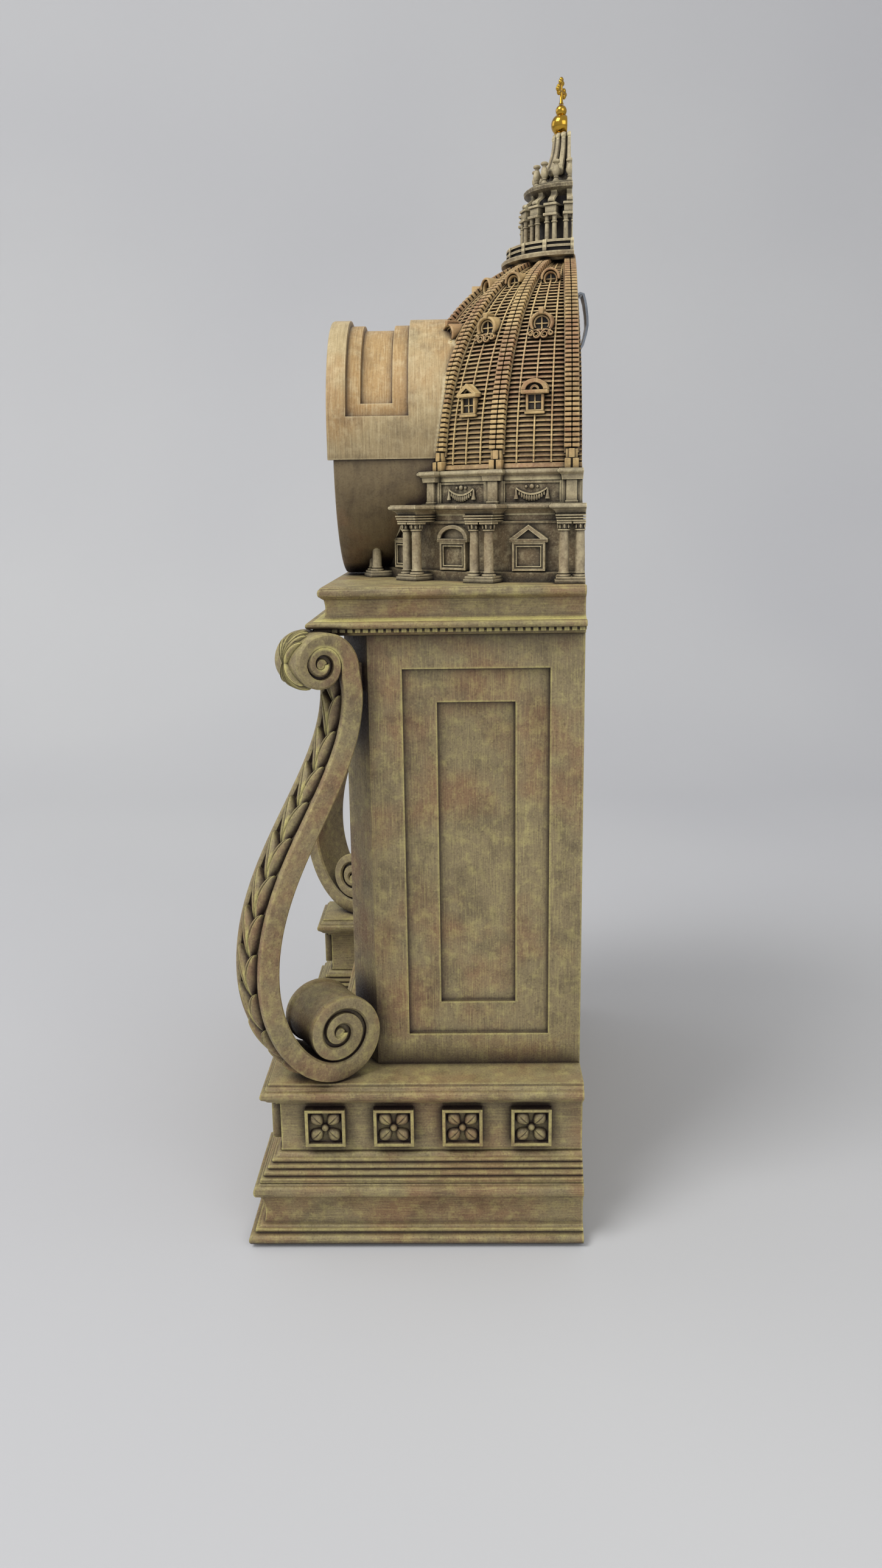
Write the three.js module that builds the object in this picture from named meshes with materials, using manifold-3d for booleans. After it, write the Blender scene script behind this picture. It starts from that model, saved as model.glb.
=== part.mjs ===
import * as THREE from 'three';
import { mergeVertices } from 'three/addons/utils/BufferGeometryUtils.js';
import Module from 'manifold-3d';

const wasm = await Module();
wasm.setup();

// Frame while drawing, in millimetres: X across, Y zero at the flat back and minus to the front, Z up
// Fits
const seam = 0.3;
const runningGap = 0.35;

// Feet
const footRadius = 5;
const footHeight = 1.2;
const footInset = 15;

// Heights of the storeys, each standing on the one before
const plinthHeight = 21.4;
const stepHeight = 8.8;
const friezeHeight = 18.4;
const capHeight = 8.8;
const pedestalHeight = 152.4;
const bedHeight = 0.6;
const dentilHeight = 2;
const noseHeight = 2.2;
const fasciaHeight = 7.4;
const slabHeight = 3.4;
const columnHeight = 19.8;
const entablatureHeight = 5.8;
const atticHeight = 11.2;
const domeHeight = 72.2;
const railHeight = 6.6;
const lanternColumnHeight = 16;
const lanternBlockHeight = 4;
const bracketHeight = 4.4;
const lanternCorniceHeight = 2;
const spireHeight = 18.7;
const knopRise = 8.2;
const crossRise = 11.1;
const plinthTop = footHeight + plinthHeight;
const friezeBottom = plinthTop + stepHeight;
const friezeTop = friezeBottom + friezeHeight;
const baseTop = friezeTop + capHeight;
const pedestalTop = baseTop + pedestalHeight;
const dentilBottom = pedestalTop + bedHeight;
const noseBottom = dentilBottom + dentilHeight;
const noseTop = noseBottom + noseHeight;
const fasciaTop = noseTop + fasciaHeight;
const slabTop = fasciaTop + slabHeight;
const columnTop = slabTop + columnHeight;
const entablatureTop = columnTop + entablatureHeight;
const atticTop = entablatureTop + atticHeight;
const lanternFloor = atticTop + domeHeight;
const railTop = lanternFloor + railHeight;
const lanternColumnTop = lanternFloor + lanternColumnHeight;
const lanternBlockTop = lanternColumnTop + lanternBlockHeight;
const bracketTop = lanternBlockTop + bracketHeight;
const lanternCorniceTop = bracketTop + lanternCorniceHeight;
const spireTop = lanternCorniceTop + spireHeight;
const knopCentre = spireTop + knopRise;
const crossTop = knopCentre + crossRise;

// Base: the frieze face is the datum that every moulding stands out from
const baseHalfWidth = 93.6;
const baseDepth = 105.7;
const baseCentreDepth = 84;
const cornerBlockWidth = 20.8;
const plinthReach = 11.1;
const plinthRollReach = 9.1;
const capReach = 5.8;

// Rosette tiles on the frieze
const tileSize = 13.2;
const tileDepth = 3;
const tileRim = 1.3;
const tileSides = 4;
const tileBackMargin = 22.1;
const tileFrontMargin = 17.1;
const tilePitch = (baseDepth - tileBackMargin - tileFrontMargin) / (tileSides - 1);
const petalLength = 5.4;
const petalWidth = 3.2;
const petalDegrees = [45, 135, 225, 315];

// Pedestal
const pedestalHalfWidth = 81.5;
const pedestalSideDepth = 71.6;
const pedestalDepth = 80.3;
const panelStep = 2;
const outerPanelMargin = 11.4;
const innerPanelMargin = 11.8;
const sidePanelBack = 11.7;
const frontPanelMargin = 15;

// Cornice
const bedReach = 1.6;
const dentilReach = 3;
const dentilPitch = 6.4;
const dentilWidth = 3.7;
const noseReach = 6.3;
const fasciaReach = 0.6;
const slabReach = 2.5;
const corniceFrontReach = 4.2;

// Scroll consoles: drawn in a plane through the canted corner, s outward and z up
const consoleTurn = 33;
const consoleAngle = THREE.MathUtils.degToRad(consoleTurn);
const consoleFaceOffset = 34.7;
const consoleWidth = 22;
const consoleTopWidth = 18;
const strapHalf = 3.6;
const strapClear = 3.36;
const eyeStandoff = 10.1;
const bellyStandoff = 34.9;
const upperEyeDrop = 10.8;
const lowerEyeRise = 17.9;
const bellyRise = 40.4;
const shoulderDrop = 7;
const shoulderPull = 31;
const bellyPull = 40;
const upperVoluteRadius = 12.4;
const upperVoluteEnd = 7.1;
const upperVoluteSweep = 314;
const lowerVoluteRadius = 17.6;
const lowerVoluteEnd = 10.3;
const lowerVoluteSweep = 263;
const lowerVoluteClose = 67;
const grooveDepth = 1.3;
const garlandWidth = 14;
const garlandHeight = 3.4;
const leafCount = 9;
const landMargin = 6;
const landDrop = 9;
const landRise = 5;
const grooveSweep = 460;

// Half-round temple storey and dome, on an axis in the back plane
const columnRing = 75.7;
const columnRadius = 1.65;
const pairHalfGap = 2.6;
const firstPairAngle = 3.2;
const pairPitch = 23.1;
const pairsEachSide = 4;
const wallRadius = 69;
const plinthBlock = 2.2;
const atticRadius = 65;
const pierReach = 2.2;
const domeRadius = 61.8;
const domeRise = 74.4;
const ribReach = 2.2;
const ribWidth = 2.2;
const ribHalfGap = 1.7;
const ribWebReach = 0.8;
const windowRise = 17.7;
const windowHeight = 10;
const windowWidth = 6.6;
const windowProud = 2.4;
const archRise = 48.6;
const archRadius = 4.3;
const eyeRise = 64.1;
const eyeRadius = 2.9;

// Gallery and lantern
const galleryRadius = 24.6;
const galleryThick = 2.6;
const railRadius = 22.6;
const lanternCore = 12;
const lanternColumnRing = 17;
const lanternCorniceRadius = 16.4;
const urnRing = 13;
const urnHeight = 8.2;
const spireFootRadius = 8.4;
const spireHeadRadius = 5.4;

// Gilt finial
const finialSetback = 3;
const orbRadius = 3.6;
const knopRadius = 2;
const crossArm = 4.2;
const crossTwist = 14;

// Clock drum and hood
const clockRise = 41.4;
const clockHeight = slabTop + clockRise;
const drumRadius = 41;
const drumFront = 84.8;
const hoodRadius = 42;
const cheekHeight = 9;
const hoodCentre = clockHeight + cheekHeight;
const hoodFront = 86.8;
const drumBack = 34;
const hoodPanelFront = 80;
const hoodPanelBack = 58;
const hoodInnerFront = 74.3;
const hoodInnerBack = 64;
const hoodPanelFoot = 5.6;
const hoodInnerFoot = 10.4;
const hoodPanelStep = 2;
const boreRadius = 34;
const boreBottom = 52;

// Clock insert, all depths measured back from the drum's front face
const bezelRadius = 37;
const bezelSetback = 0.6;
const bezelThick = 4;
const bezelSight = 30.8;
const bezelLip = 1.2;
const lensThick = 1.5;
const cupRadius = 32.8;
const cupWall = 1.1;
const cupDepth = 23;
const cupFlange = 1.2;
const gasketSetback = 8;
const gasketWidth = 6;
const dialSetback = 8.8;
const dialThick = 0.8;
const handThick = 0.5;
const handPitch = 1.1;
const movementSize = 43;
const movementDepth = 13;
const movementWall = 1.4;
const secondPinRadius = 0.5;
const minuteTubeRadius = 1.25;
const hourTubeRadius = 2.05;
const minuteHandLength = 25;
const hourHandLength = 17;
const secondHandLength = 26;
const motionArm = 8.4;
const motionTurn = 215;
const gearThick = 1;
const toothTip = 0.26;
const toothRoot = 0.42;
const cannonTeeth = 12;
const minuteWheelTeeth = 36;
const minutePinionTeeth = 10;
const hourWheelTeeth = 40;
const hourTubeStub = 0.4;
const secondWheelRadius = 5.4;
const coilRadius = 2.4;
const coilLength = 16;
const boardThick = 1;
const boardHeight = 7.8;
const boardBottom = 9.4;
const boardLeft = -12;
const boardRight = 10;
const knobRadius = 4.2;
const knobThick = 2.4;
const batteryRadius = 5.8;
const batteryThick = 5.4;
const batterySetback = 4;
const contactThick = 0.5;
const batteryAcross = 13;
const batteryDown = 12;
const batteryCapRadius = 8;

// Wall strap on the back of the dome
const strapWidth = 9;
const strapThick = 1;
const strapStandoff = 7;
const strapRise = 42.6;
const strapLength = 19;
const strapBottom = atticTop + strapRise;
const strapTop = strapBottom + strapLength;
const strapRoot = 3;

// Sides of the turned work
const turnSides = 28;
const drumSides = 36;
const ringSides = 32;
const smallSides = 6;

// Colours
const stoneTan = '#9a8b5e';
const stoneBrown = '#8a6f4c';
const stoneGrey = '#8c8878';
const gilt = '#d2a52a';
const steelGrey = '#7b8087';
const feltBlack = '#1d1c1b';

// The pedestal's front corners are cut square to the consoles
const pedestalCant = (pedestalDepth - pedestalSideDepth) / Math.tan(consoleAngle);
const cantPlane = pedestalHalfWidth * Math.sin(consoleAngle) + pedestalSideDepth * Math.cos(consoleAngle);

// Both eyes and the strap stand off that corner
const strapBack = cantPlane + strapClear + strapHalf;
const strapBelly = strapBack + bellyStandoff;
const eyeReach = strapBack + eyeStandoff;
const upperEye = new THREE.Vector2(eyeReach, pedestalTop - upperEyeDrop);
const lowerEye = new THREE.Vector2(eyeReach, baseTop + lowerEyeRise);
const bellyHeight = baseTop + bellyRise;

// Plain solids
function weld(geometry) {
  const bare = geometry.index ? geometry.toNonIndexed() : geometry.clone();
  bare.deleteAttribute('normal');
  bare.deleteAttribute('uv');
  return mergeVertices(bare, 1e-4);
}

function toSolid(geometry) {
  const g = weld(geometry);
  return new wasm.Manifold(new wasm.Mesh({
    numProp: 3,
    vertProperties: new Float32Array(g.attributes.position.array),
    triVerts: new Uint32Array(g.index.array),
  }));
}

function toGeometry(solid) {
  const mesh = solid.getMesh();
  const geometry = new THREE.BufferGeometry();
  geometry.setAttribute('position', new THREE.BufferAttribute(new Float32Array(mesh.vertProperties), 3));
  geometry.setIndex(new THREE.BufferAttribute(new Uint32Array(mesh.triVerts), 1));
  return geometry;
}

function join(...pieces) {
  return toGeometry(pieces.map(toSolid).reduce((sum, next) => sum.add(next)));
}

function cut(body, ...tools) {
  return toGeometry(tools.map(toSolid).reduce((rest, tool) => rest.subtract(tool), toSolid(body)));
}

function common(a, b) {
  return toGeometry(toSolid(a).intersect(toSolid(b)));
}

// Keeps the largest piece of a body: small offcuts go and sealed pockets are filled
function largest(geometry) {
  const pieces = toSolid(geometry).decompose();
  pieces.sort((a, b) => b.volume() - a.volume());
  return toGeometry(pieces[0]);
}

function block(x0, x1, y0, y1, z0, z1) {
  const geometry = new THREE.BoxGeometry(x1 - x0, y1 - y0, z1 - z0);
  return geometry.translate((x0 + x1) / 2, (y0 + y1) / 2, (z0 + z1) / 2);
}

function turned(profile, segments) {
  const points = profile.map(([r, z]) => new THREE.Vector2(r, z));
  const geometry = new THREE.LatheGeometry(points, segments);
  return geometry.rotateX(Math.PI / 2);
}

function rod(radius, z0, z1, segments = 12) {
  return turned([[0, z0], [radius, z0], [radius, z1], [0, z1]], segments);
}

// A turned piece whose axis runs front to back; profile depths are measured back from the drum's face
function turnedAcross(profile, segments) {
  const geometry = turned(profile.map(([r, depth]) => [r, -depth]), segments);
  geometry.rotateX(Math.PI / 2);
  return geometry.translate(0, -drumFront, clockHeight);
}

function disc(radius, d0, d1, segments = 24) {
  return turnedAcross([[0, d1], [radius, d1], [radius, d0], [0, d0]], segments);
}

function moved(geometry, x, y, z) {
  return geometry.clone().translate(x, y, z);
}

function mirrored(geometry) {
  const g = weld(geometry);
  const position = g.attributes.position;
  for (let i = 0; i < position.count; i += 1) position.setX(i, -position.getX(i));
  const index = g.index;
  for (let i = 0; i < index.count; i += 3) {
    const keep = index.getX(i);
    index.setX(i, index.getX(i + 1));
    index.setX(i + 1, keep);
  }
  return g;
}

// Loft: closed rings of equal length, stacked upwards, with flat ends
function loft(rings) {
  const count = rings[0].length;
  const positions = rings.flat(2);
  const index = [];
  for (let k = 0; k + 1 < rings.length; k += 1) {
    for (let i = 0; i < count; i += 1) {
      const j = (i + 1) % count;
      const a = k * count + i;
      const b = k * count + j;
      index.push(a, b, b + count, a, b + count, a + count);
    }
  }
  const outline = rings[0].map(([x, y]) => new THREE.Vector2(x, y));
  const top = (rings.length - 1) * count;
  for (const [a, b, c] of THREE.ShapeUtils.triangulateShape(outline, [])) {
    index.push(c, b, a, top + a, top + b, top + c);
  }
  const geometry = new THREE.BufferGeometry();
  geometry.setAttribute('position', new THREE.Float32BufferAttribute(positions, 3));
  geometry.setIndex(index);
  return geometry;
}

// A plan is a list of [x, y, sx, sy]: the signs say which way a moulding moves that corner
function moulded(plan, profile) {
  return loft(profile.map(([z, out]) => plan.map(([x, y, sx, sy]) => [x + sx * out, y + sy * out, z])));
}

function rectanglePlan(halfWidth, depth) {
  return [
    [-halfWidth, 0, -1, 0], [-halfWidth, -depth, -1, -1],
    [halfWidth, -depth, 1, -1], [halfWidth, 0, 1, 0],
  ];
}

function basePlan() {
  const inner = baseHalfWidth - cornerBlockWidth;
  return [
    [-baseHalfWidth, 0, -1, 0],
    [-baseHalfWidth, -baseDepth, -1, -1],
    [-inner, -baseDepth, 1, -1],
    [-inner, -baseCentreDepth, 1, -1],
    [inner, -baseCentreDepth, -1, -1],
    [inner, -baseDepth, -1, -1],
    [baseHalfWidth, -baseDepth, 1, -1],
    [baseHalfWidth, 0, 1, 0],
  ];
}

// Moulding profiles as [height, reach]
function roll(z0, z1, reach, bulge, steps = 5) {
  const middle = (z0 + z1) / 2;
  const half = (z1 - z0) / 2;
  return Array.from({ length: steps + 1 }, (_, i) => {
    const a = -Math.PI / 2 + (Math.PI * i) / steps;
    return [middle + half * Math.sin(a), reach + bulge * Math.cos(a)];
  });
}

function hollow(z0, z1, reach0, reach1, sag, steps = 5) {
  return Array.from({ length: steps + 1 }, (_, i) => {
    const t = i / steps;
    return [z0 + (z1 - z0) * t, reach0 + (reach1 - reach0) * t - sag * Math.sin(Math.PI * t)];
  });
}

// Base
function plinth() {
  const rollBottom = plinthTop - 4;
  const profile = [
    ...roll(footHeight, footHeight + 3.2, plinthReach - 1, 1),
    [footHeight + 3.3, plinthReach - 2.2],
    [footHeight + 4.6, plinthReach - 2.8],
    [footHeight + 4.7, plinthReach - 3.8],
    ...hollow(footHeight + 5.6, rollBottom - 1.4, 5.9, 6.9, 0.9),
    ...roll(rollBottom, plinthTop - 0.5, plinthRollReach - 0.9, 0.9),
    [plinthTop, plinthRollReach - 1.6],
  ];
  return moulded(basePlan(), profile);
}

function stepMoulding() {
  const profile = [
    [plinthTop, 6.8],
    [plinthTop + 1.6, 6.8],
    [plinthTop + 1.7, 5.9],
    ...hollow(plinthTop + 3.2, plinthTop + 5.2, 5.8, 4.8, -0.3, 3),
    [plinthTop + 5.3, 4],
    ...hollow(plinthTop + 6.4, plinthTop + 7.6, 3.4, 2.2, 0.2, 2),
    [friezeBottom, 1],
  ];
  return moulded(basePlan(), profile);
}

function friezeAndCap() {
  const profile = [
    [friezeBottom, 0],
    [friezeTop, 0],
    [friezeTop + 0.6, 1.2],
    ...hollow(friezeTop + 1, friezeTop + 3, 1.8, 4.4, -0.4, 3),
    ...roll(friezeTop + 3.4, friezeTop + 6.4, capReach - 1, 1, 4),
    [friezeTop + 6.8, capReach - 1.6],
    [baseTop - 1, capReach - 2],
    [baseTop - 0.9, capReach - 2.8],
    [baseTop, capReach - 2.8],
  ];
  return moulded(basePlan(), profile);
}

// One rosette tile, drawn facing -Y with its back at y = 0
function rosetteTile() {
  const half = tileSize / 2;
  const sunk = half - tileRim;
  const floor = tileDepth - 1.2;
  const tray = cut(
    block(-half, half, -tileDepth, 0, -half, half),
    block(-sunk, sunk, -tileDepth - 1, -floor, -sunk, sunk),
  );
  const petal = new THREE.OctahedronGeometry(1).scale(petalLength / 2, 1.5, petalWidth / 2);
  const petals = petalDegrees.map((degrees) => {
    const leaf = petal.clone().translate(petalLength / 2 + 0.5, -floor, 0);
    return leaf.rotateY(THREE.MathUtils.degToRad(degrees));
  });
  const seed = new THREE.OctahedronGeometry(1.3).translate(0, -floor - 0.7, 0);
  return join(tray, ...petals, seed);
}

// Pedestal
function pedestal() {
  const plan = [
    [-pedestalHalfWidth, 0], [-pedestalHalfWidth, -pedestalSideDepth],
    [-pedestalHalfWidth + pedestalCant, -pedestalDepth], [pedestalHalfWidth - pedestalCant, -pedestalDepth],
    [pedestalHalfWidth, -pedestalSideDepth], [pedestalHalfWidth, 0],
  ];
  const body = loft([baseTop, pedestalTop].map((z) => plan.map(([x, y]) => [x, y, z])));
  const cuts = [1, 2].flatMap((level) => {
    const extra = level === 2 ? innerPanelMargin : 0;
    const z0 = baseTop + outerPanelMargin + extra;
    const z1 = pedestalTop - outerPanelMargin - extra;
    const deep = level * panelStep;
    const front = -(pedestalSideDepth - outerPanelMargin - extra);
    const half = pedestalHalfWidth - pedestalCant - frontPanelMargin - extra;
    return [
      block(pedestalHalfWidth - deep, pedestalHalfWidth + 1, front, -sidePanelBack - extra, z0, z1),
      block(-pedestalHalfWidth - 1, -pedestalHalfWidth + deep, front, -sidePanelBack - extra, z0, z1),
      block(-half, half, -pedestalDepth - 1, -pedestalDepth + deep, z0, z1),
    ];
  });
  return cut(body, ...cuts);
}

// Cornice: the front mouldings reach a little further than the sides
function cornicePlan() {
  return rectanglePlan(pedestalHalfWidth, pedestalDepth + corniceFrontReach);
}

function corniceBed() {
  const bed = moulded(cornicePlan(), [
    [pedestalTop, 0.6],
    [dentilBottom, bedReach],
    [noseBottom, bedReach],
    [noseBottom, noseReach - 1],
    ...roll(noseBottom + 0.1, noseTop - 0.1, noseReach - 0.9, 0.9, 4),
    [noseTop, noseReach - 1.2],
  ]);
  const front = pedestalDepth + corniceFrontReach;
  const sideCount = Math.floor((front - dentilPitch) / dentilPitch);
  const frontCount = Math.floor((pedestalHalfWidth * 2) / dentilPitch);
  const toothTop = noseBottom + 0.2;
  const teeth = [];
  for (let i = 0; i < sideCount; i += 1) {
    const y = -dentilPitch * (i + 1);
    for (const side of [-1, 1]) {
      const x0 = side * (pedestalHalfWidth + bedReach - 0.5);
      const x1 = side * (pedestalHalfWidth + dentilReach);
      const [low, high] = [Math.min(x0, x1), Math.max(x0, x1)];
      teeth.push(block(low, high, y, y + dentilWidth, dentilBottom, toothTop));
    }
  }
  for (let i = 0; i < frontCount; i += 1) {
    const x = (i - (frontCount - 1) / 2) * dentilPitch - dentilWidth / 2;
    const tip = -front - dentilReach;
    teeth.push(block(x, x + dentilWidth, tip, -front - bedReach + 0.5, dentilBottom, toothTop));
  }
  return join(bed, ...teeth);
}

function corniceSlab() {
  return moulded(cornicePlan(), [
    [noseTop, noseReach - 2],
    [noseTop + 0.6, fasciaReach + 0.8],
    ...hollow(noseTop + 1.2, fasciaTop - 0.6, fasciaReach, fasciaReach, 0.5, 4),
    [fasciaTop, fasciaReach + 1],
    ...roll(fasciaTop + 0.3, slabTop - 0.5, slabReach - 0.7, 0.7, 4),
    [slabTop, slabReach - 0.9],
  ]);
}

// Scroll console
function curvePoints(curve, count) {
  return curve.getPoints(count).map((p) => new THREE.Vector2(p.x, p.y));
}

function strapCentre() {
  const upperTop = upperEye.y + upperVoluteRadius - 1.6 - strapHalf;
  const lowerBottom = lowerEye.y - lowerVoluteRadius + strapHalf;
  const shoulder = upperEye.y - shoulderDrop;
  const bend = bellyHeight - 0.55 * (bellyHeight - lowerBottom);
  const curves = [
    new THREE.CubicBezierCurve(
      new THREE.Vector2(upperEye.x, upperTop), new THREE.Vector2(upperEye.x - 7, upperTop),
      new THREE.Vector2(strapBack - 0.8, shoulder + 9), new THREE.Vector2(strapBack, shoulder),
    ),
    new THREE.CubicBezierCurve(
      new THREE.Vector2(strapBack, shoulder), new THREE.Vector2(strapBack, shoulder - shoulderPull),
      new THREE.Vector2(strapBelly, bellyHeight + bellyPull), new THREE.Vector2(strapBelly, bellyHeight),
    ),
    new THREE.CubicBezierCurve(
      new THREE.Vector2(strapBelly, bellyHeight), new THREE.Vector2(strapBelly, bend),
      new THREE.Vector2(lowerEye.x + 13, lowerBottom), new THREE.Vector2(lowerEye.x, lowerBottom),
    ),
  ];
  return curves.flatMap((curve, i) => curvePoints(curve, [3, 8, 6][i]).slice(i ? 1 : 0));
}

// The outline of a band along a line of points, from one offset to another
function bandOutline(points, from, to) {
  const side = (offset) => points.map((p, i) => {
    const before = points[Math.max(i - 1, 0)];
    const after = points[Math.min(i + 1, points.length - 1)];
    const along = after.clone().sub(before).normalize();
    return new THREE.Vector2(p.x - along.y * offset, p.y + along.x * offset);
  });
  return [...side(from), ...side(to).reverse()];
}

function spiral(eye, startAngle, sweep, startRadius, endRadius, steps) {
  return Array.from({ length: steps + 1 }, (_, i) => {
    const t = i / steps;
    const a = THREE.MathUtils.degToRad(startAngle - sweep * t);
    const r = startRadius + (endRadius - startRadius) * t;
    return new THREE.Vector2(eye.x + r * Math.cos(a), eye.y + r * Math.sin(a));
  });
}

function plate(points, from, to) {
  const shape = new THREE.Shape(THREE.ShapeUtils.isClockWise(points) ? points.slice().reverse() : points);
  const solid = new THREE.ExtrudeGeometry(shape, { depth: to - from, bevelEnabled: false, steps: 1 });
  return solid.translate(0, 0, from);
}

function voluteGrooves(eye, startAngle, startRadius, width) {
  const turn = spiral(eye, startAngle, grooveSweep, startRadius, startRadius * 0.24, 12);
  const outline = bandOutline(turn, -width / 2, width / 2);
  return [
    plate(outline, -1, grooveDepth),
    plate(outline, consoleWidth - grooveDepth, consoleWidth + 1),
  ];
}

// Laurel leaves in pairs that overlap down the front of the strap
function garland(points) {
  const line = new THREE.SplineCurve(points.slice(3, -3));
  const middle = consoleWidth / 2;
  const leaf = new THREE.OctahedronGeometry(1).scale(garlandHeight * 0.7, 8.6, garlandWidth * 0.24);
  return Array.from({ length: leafCount }, (_, i) => {
    const t = (i + 0.5) / leafCount;
    const at = line.getPointAt(t);
    const along = line.getTangentAt(t);
    const lean = Math.atan2(along.y, along.x) - Math.PI / 2;
    return [-1, 1].map((side) => {
      const copy = leaf.clone().rotateX(side * 0.42).translate(strapHalf, 0, side * garlandWidth * 0.22);
      return copy.rotateZ(lean + Math.PI).translate(at.x, at.y, middle);
    });
  }).flat();
}

function scrollConsole() {
  const centre = strapCentre();
  const strap = plate(bandOutline(centre, -strapHalf, strapHalf), 0, consoleWidth);
  const upperTurn = spiral(upperEye, 180, upperVoluteSweep, upperVoluteRadius, upperVoluteEnd, 12);
  const upper = plate(upperTurn, 0, consoleWidth);
  const lowerTurn = spiral(lowerEye, 270, lowerVoluteSweep, lowerVoluteRadius, lowerVoluteEnd, 13);
  const closeFrom = 270 - lowerVoluteSweep;
  const lowerInner = spiral(lowerEye, closeFrom, lowerVoluteClose, lowerVoluteEnd, lowerVoluteEnd, 4);
  const lower = plate([...lowerTurn, ...lowerInner.slice(1)], 0, consoleWidth);
  const land = block(cantPlane + seam, upperEye.x, upperEye.y - landDrop, upperEye.y + landRise,
    landMargin, consoleWidth - landMargin);
  const body = join(strap, upper, lower, land);
  const grooved = cut(
    body,
    ...voluteGrooves(upperEye, 215, 7.2, 1.7),
    ...voluteGrooves(lowerEye, -60, 11.2, 2.5),
  );
  const whole = join(grooved, ...garland(centre));
  const position = whole.attributes.position;
  const span = upperEye.y - lowerEye.y;
  for (let i = 0; i < position.count; i += 1) {
    const rise = THREE.MathUtils.clamp((position.getY(i) - lowerEye.y) / span, 0, 1);
    const width = THREE.MathUtils.lerp(consoleWidth, consoleTopWidth, rise);
    const w = (position.getZ(i) - consoleWidth / 2) * (width / consoleWidth);
    position.setZ(i, w + consoleWidth / 2);
  }
  const outward = new THREE.Vector3(Math.sin(consoleAngle), -Math.cos(consoleAngle), 0);
  const face = new THREE.Vector3(Math.cos(consoleAngle), Math.sin(consoleAngle), 0);
  const placed = new THREE.Matrix4().makeBasis(outward, new THREE.Vector3(0, 0, 1), face.clone().negate());
  placed.setPosition(face.clone().multiplyScalar(consoleFaceOffset));
  return whole.applyMatrix4(placed);
}

// Half-round work: full turns cut by the flat back
function frontHalf(geometry) {
  const reach = baseDepth + baseHalfWidth;
  return common(geometry, block(-reach, reach, -reach, 0, 0, crossTop));
}

function pairAngles() {
  const right = Array.from({ length: pairsEachSide }, (_, i) => firstPairAngle + i * pairPitch);
  return [...right, ...right.map((a) => 180 - a).reverse()];
}

// Turns a piece that was drawn facing +X round to an angle from +X towards the front
function aimed(geometry, degrees) {
  return geometry.clone().rotateZ(-THREE.MathUtils.degToRad(degrees));
}

// Room for the clock's drum and hood in the half-round work
function drumRoom() {
  return clockCase(seam, drumBack - seam, 1);
}

function clockCase(grow, back, frontExtra) {
  const lower = rodAcross(drumRadius + grow, drumFront + frontExtra, back, drumSides);
  const half = hoodRadius + grow;
  const front = -hoodFront - frontExtra;
  const arch = rodAcross(half, -front, back, drumSides).translate(0, 0, cheekHeight);
  const above = block(-half - 1, half + 1, front - 1, -back + 1, hoodCentre, hoodCentre + half + 1);
  const cheeks = block(-half, half, front, -back, clockHeight - grow, hoodCentre);
  return join(lower, common(arch, above), cheeks);
}

function rodAcross(radius, front, back, segments) {
  const geometry = rod(radius, back, front, segments);
  return geometry.rotateX(Math.PI / 2).translate(0, 0, clockHeight);
}

function column() {
  const top = columnTop - 2.4;
  const foot = slabTop + plinthBlock;
  const profile = [
    [0, foot - 0.2], [columnRadius + 0.7, foot - 0.2], [columnRadius * 0.93, foot + 1.3],
    [columnRadius * 0.86, top], [columnRadius + 0.9, columnTop + 0.2], [0, columnTop + 0.2],
  ];
  return moved(turned(profile, smallSides), columnRing, 0, 0);
}

function columnPair() {
  const halfPlinth = pairHalfGap + columnRadius + 0.9;
  const reach = columnRing + columnRadius + 1.3;
  const root = wallRadius - 2;
  const shaft = column();
  return join(
    block(root, reach, -halfPlinth, halfPlinth, slabTop, slabTop + plinthBlock),
    block(root, reach - 0.6, -halfPlinth + 0.4, halfPlinth - 0.4, columnTop, columnTop + 2.6),
    block(root, reach + 0.9, -halfPlinth - 0.8, halfPlinth + 0.8, columnTop + 2.6, entablatureTop),
    moved(shaft, 0, -pairHalfGap, 0),
    moved(shaft, 0, pairHalfGap, 0),
  );
}

// A window with a frame and a pointed or round pediment, standing on a wall that faces +X
function pedimentWindow(radius, width, z0, z1, pointed, proud) {
  const half = width / 2;
  const head = z1 - width * 0.3;
  const frame = cut(
    block(radius - 2, radius + proud, -half * 0.84, half * 0.84, z0, head),
    block(radius + proud * 0.4, radius + proud + 1, -half * 0.56, half * 0.56, z0 + 1, head - 0.6),
  );
  const top = pointed
    ? [new THREE.Vector2(-half, head - 0.4), new THREE.Vector2(half, head - 0.4), new THREE.Vector2(0, z1)]
    : spiral(new THREE.Vector2(0, head - 0.4), 180, 180, half, half, 5).map((p) => {
      const lift = (p.y - head + 0.4) * ((z1 - head + 0.4) / half);
      return new THREE.Vector2(p.x, head - 0.4 + lift);
    });
  const pediment = plate(top, radius - 2, radius + proud + 0.7);
  pediment.rotateX(Math.PI / 2).rotateZ(Math.PI / 2);
  return join(frame, pediment);
}

function bayAngles() {
  const angles = pairAngles();
  return angles.slice(1).map((a, i) => (a + angles[i]) / 2);
}

function templeStorey() {
  const wall = turned([
    [0, slabTop], [wallRadius + 0.9, slabTop], [wallRadius + 0.9, slabTop + 2.4],
    [wallRadius, slabTop + 2.6], [wallRadius, columnTop - 0.6], [wallRadius + 0.7, columnTop],
    [wallRadius + 0.7, columnTop + 2.4],
    [wallRadius + 3.6, columnTop + 4], [wallRadius + 3.6, entablatureTop], [0, entablatureTop],
  ], ringSides);
  const pair = columnPair();
  const pairs = pairAngles().map((a) => aimed(pair, a));
  const windows = bayAngles().map((a, i) => {
    const window = pedimentWindow(wallRadius, 11.6, slabTop + 3.6, columnTop - 0.9, i % 2 === 0, 1);
    return aimed(window, a);
  });
  return largest(cut(frontHalf(join(wall, ...pairs, ...windows)), drumRoom()));
}

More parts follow.
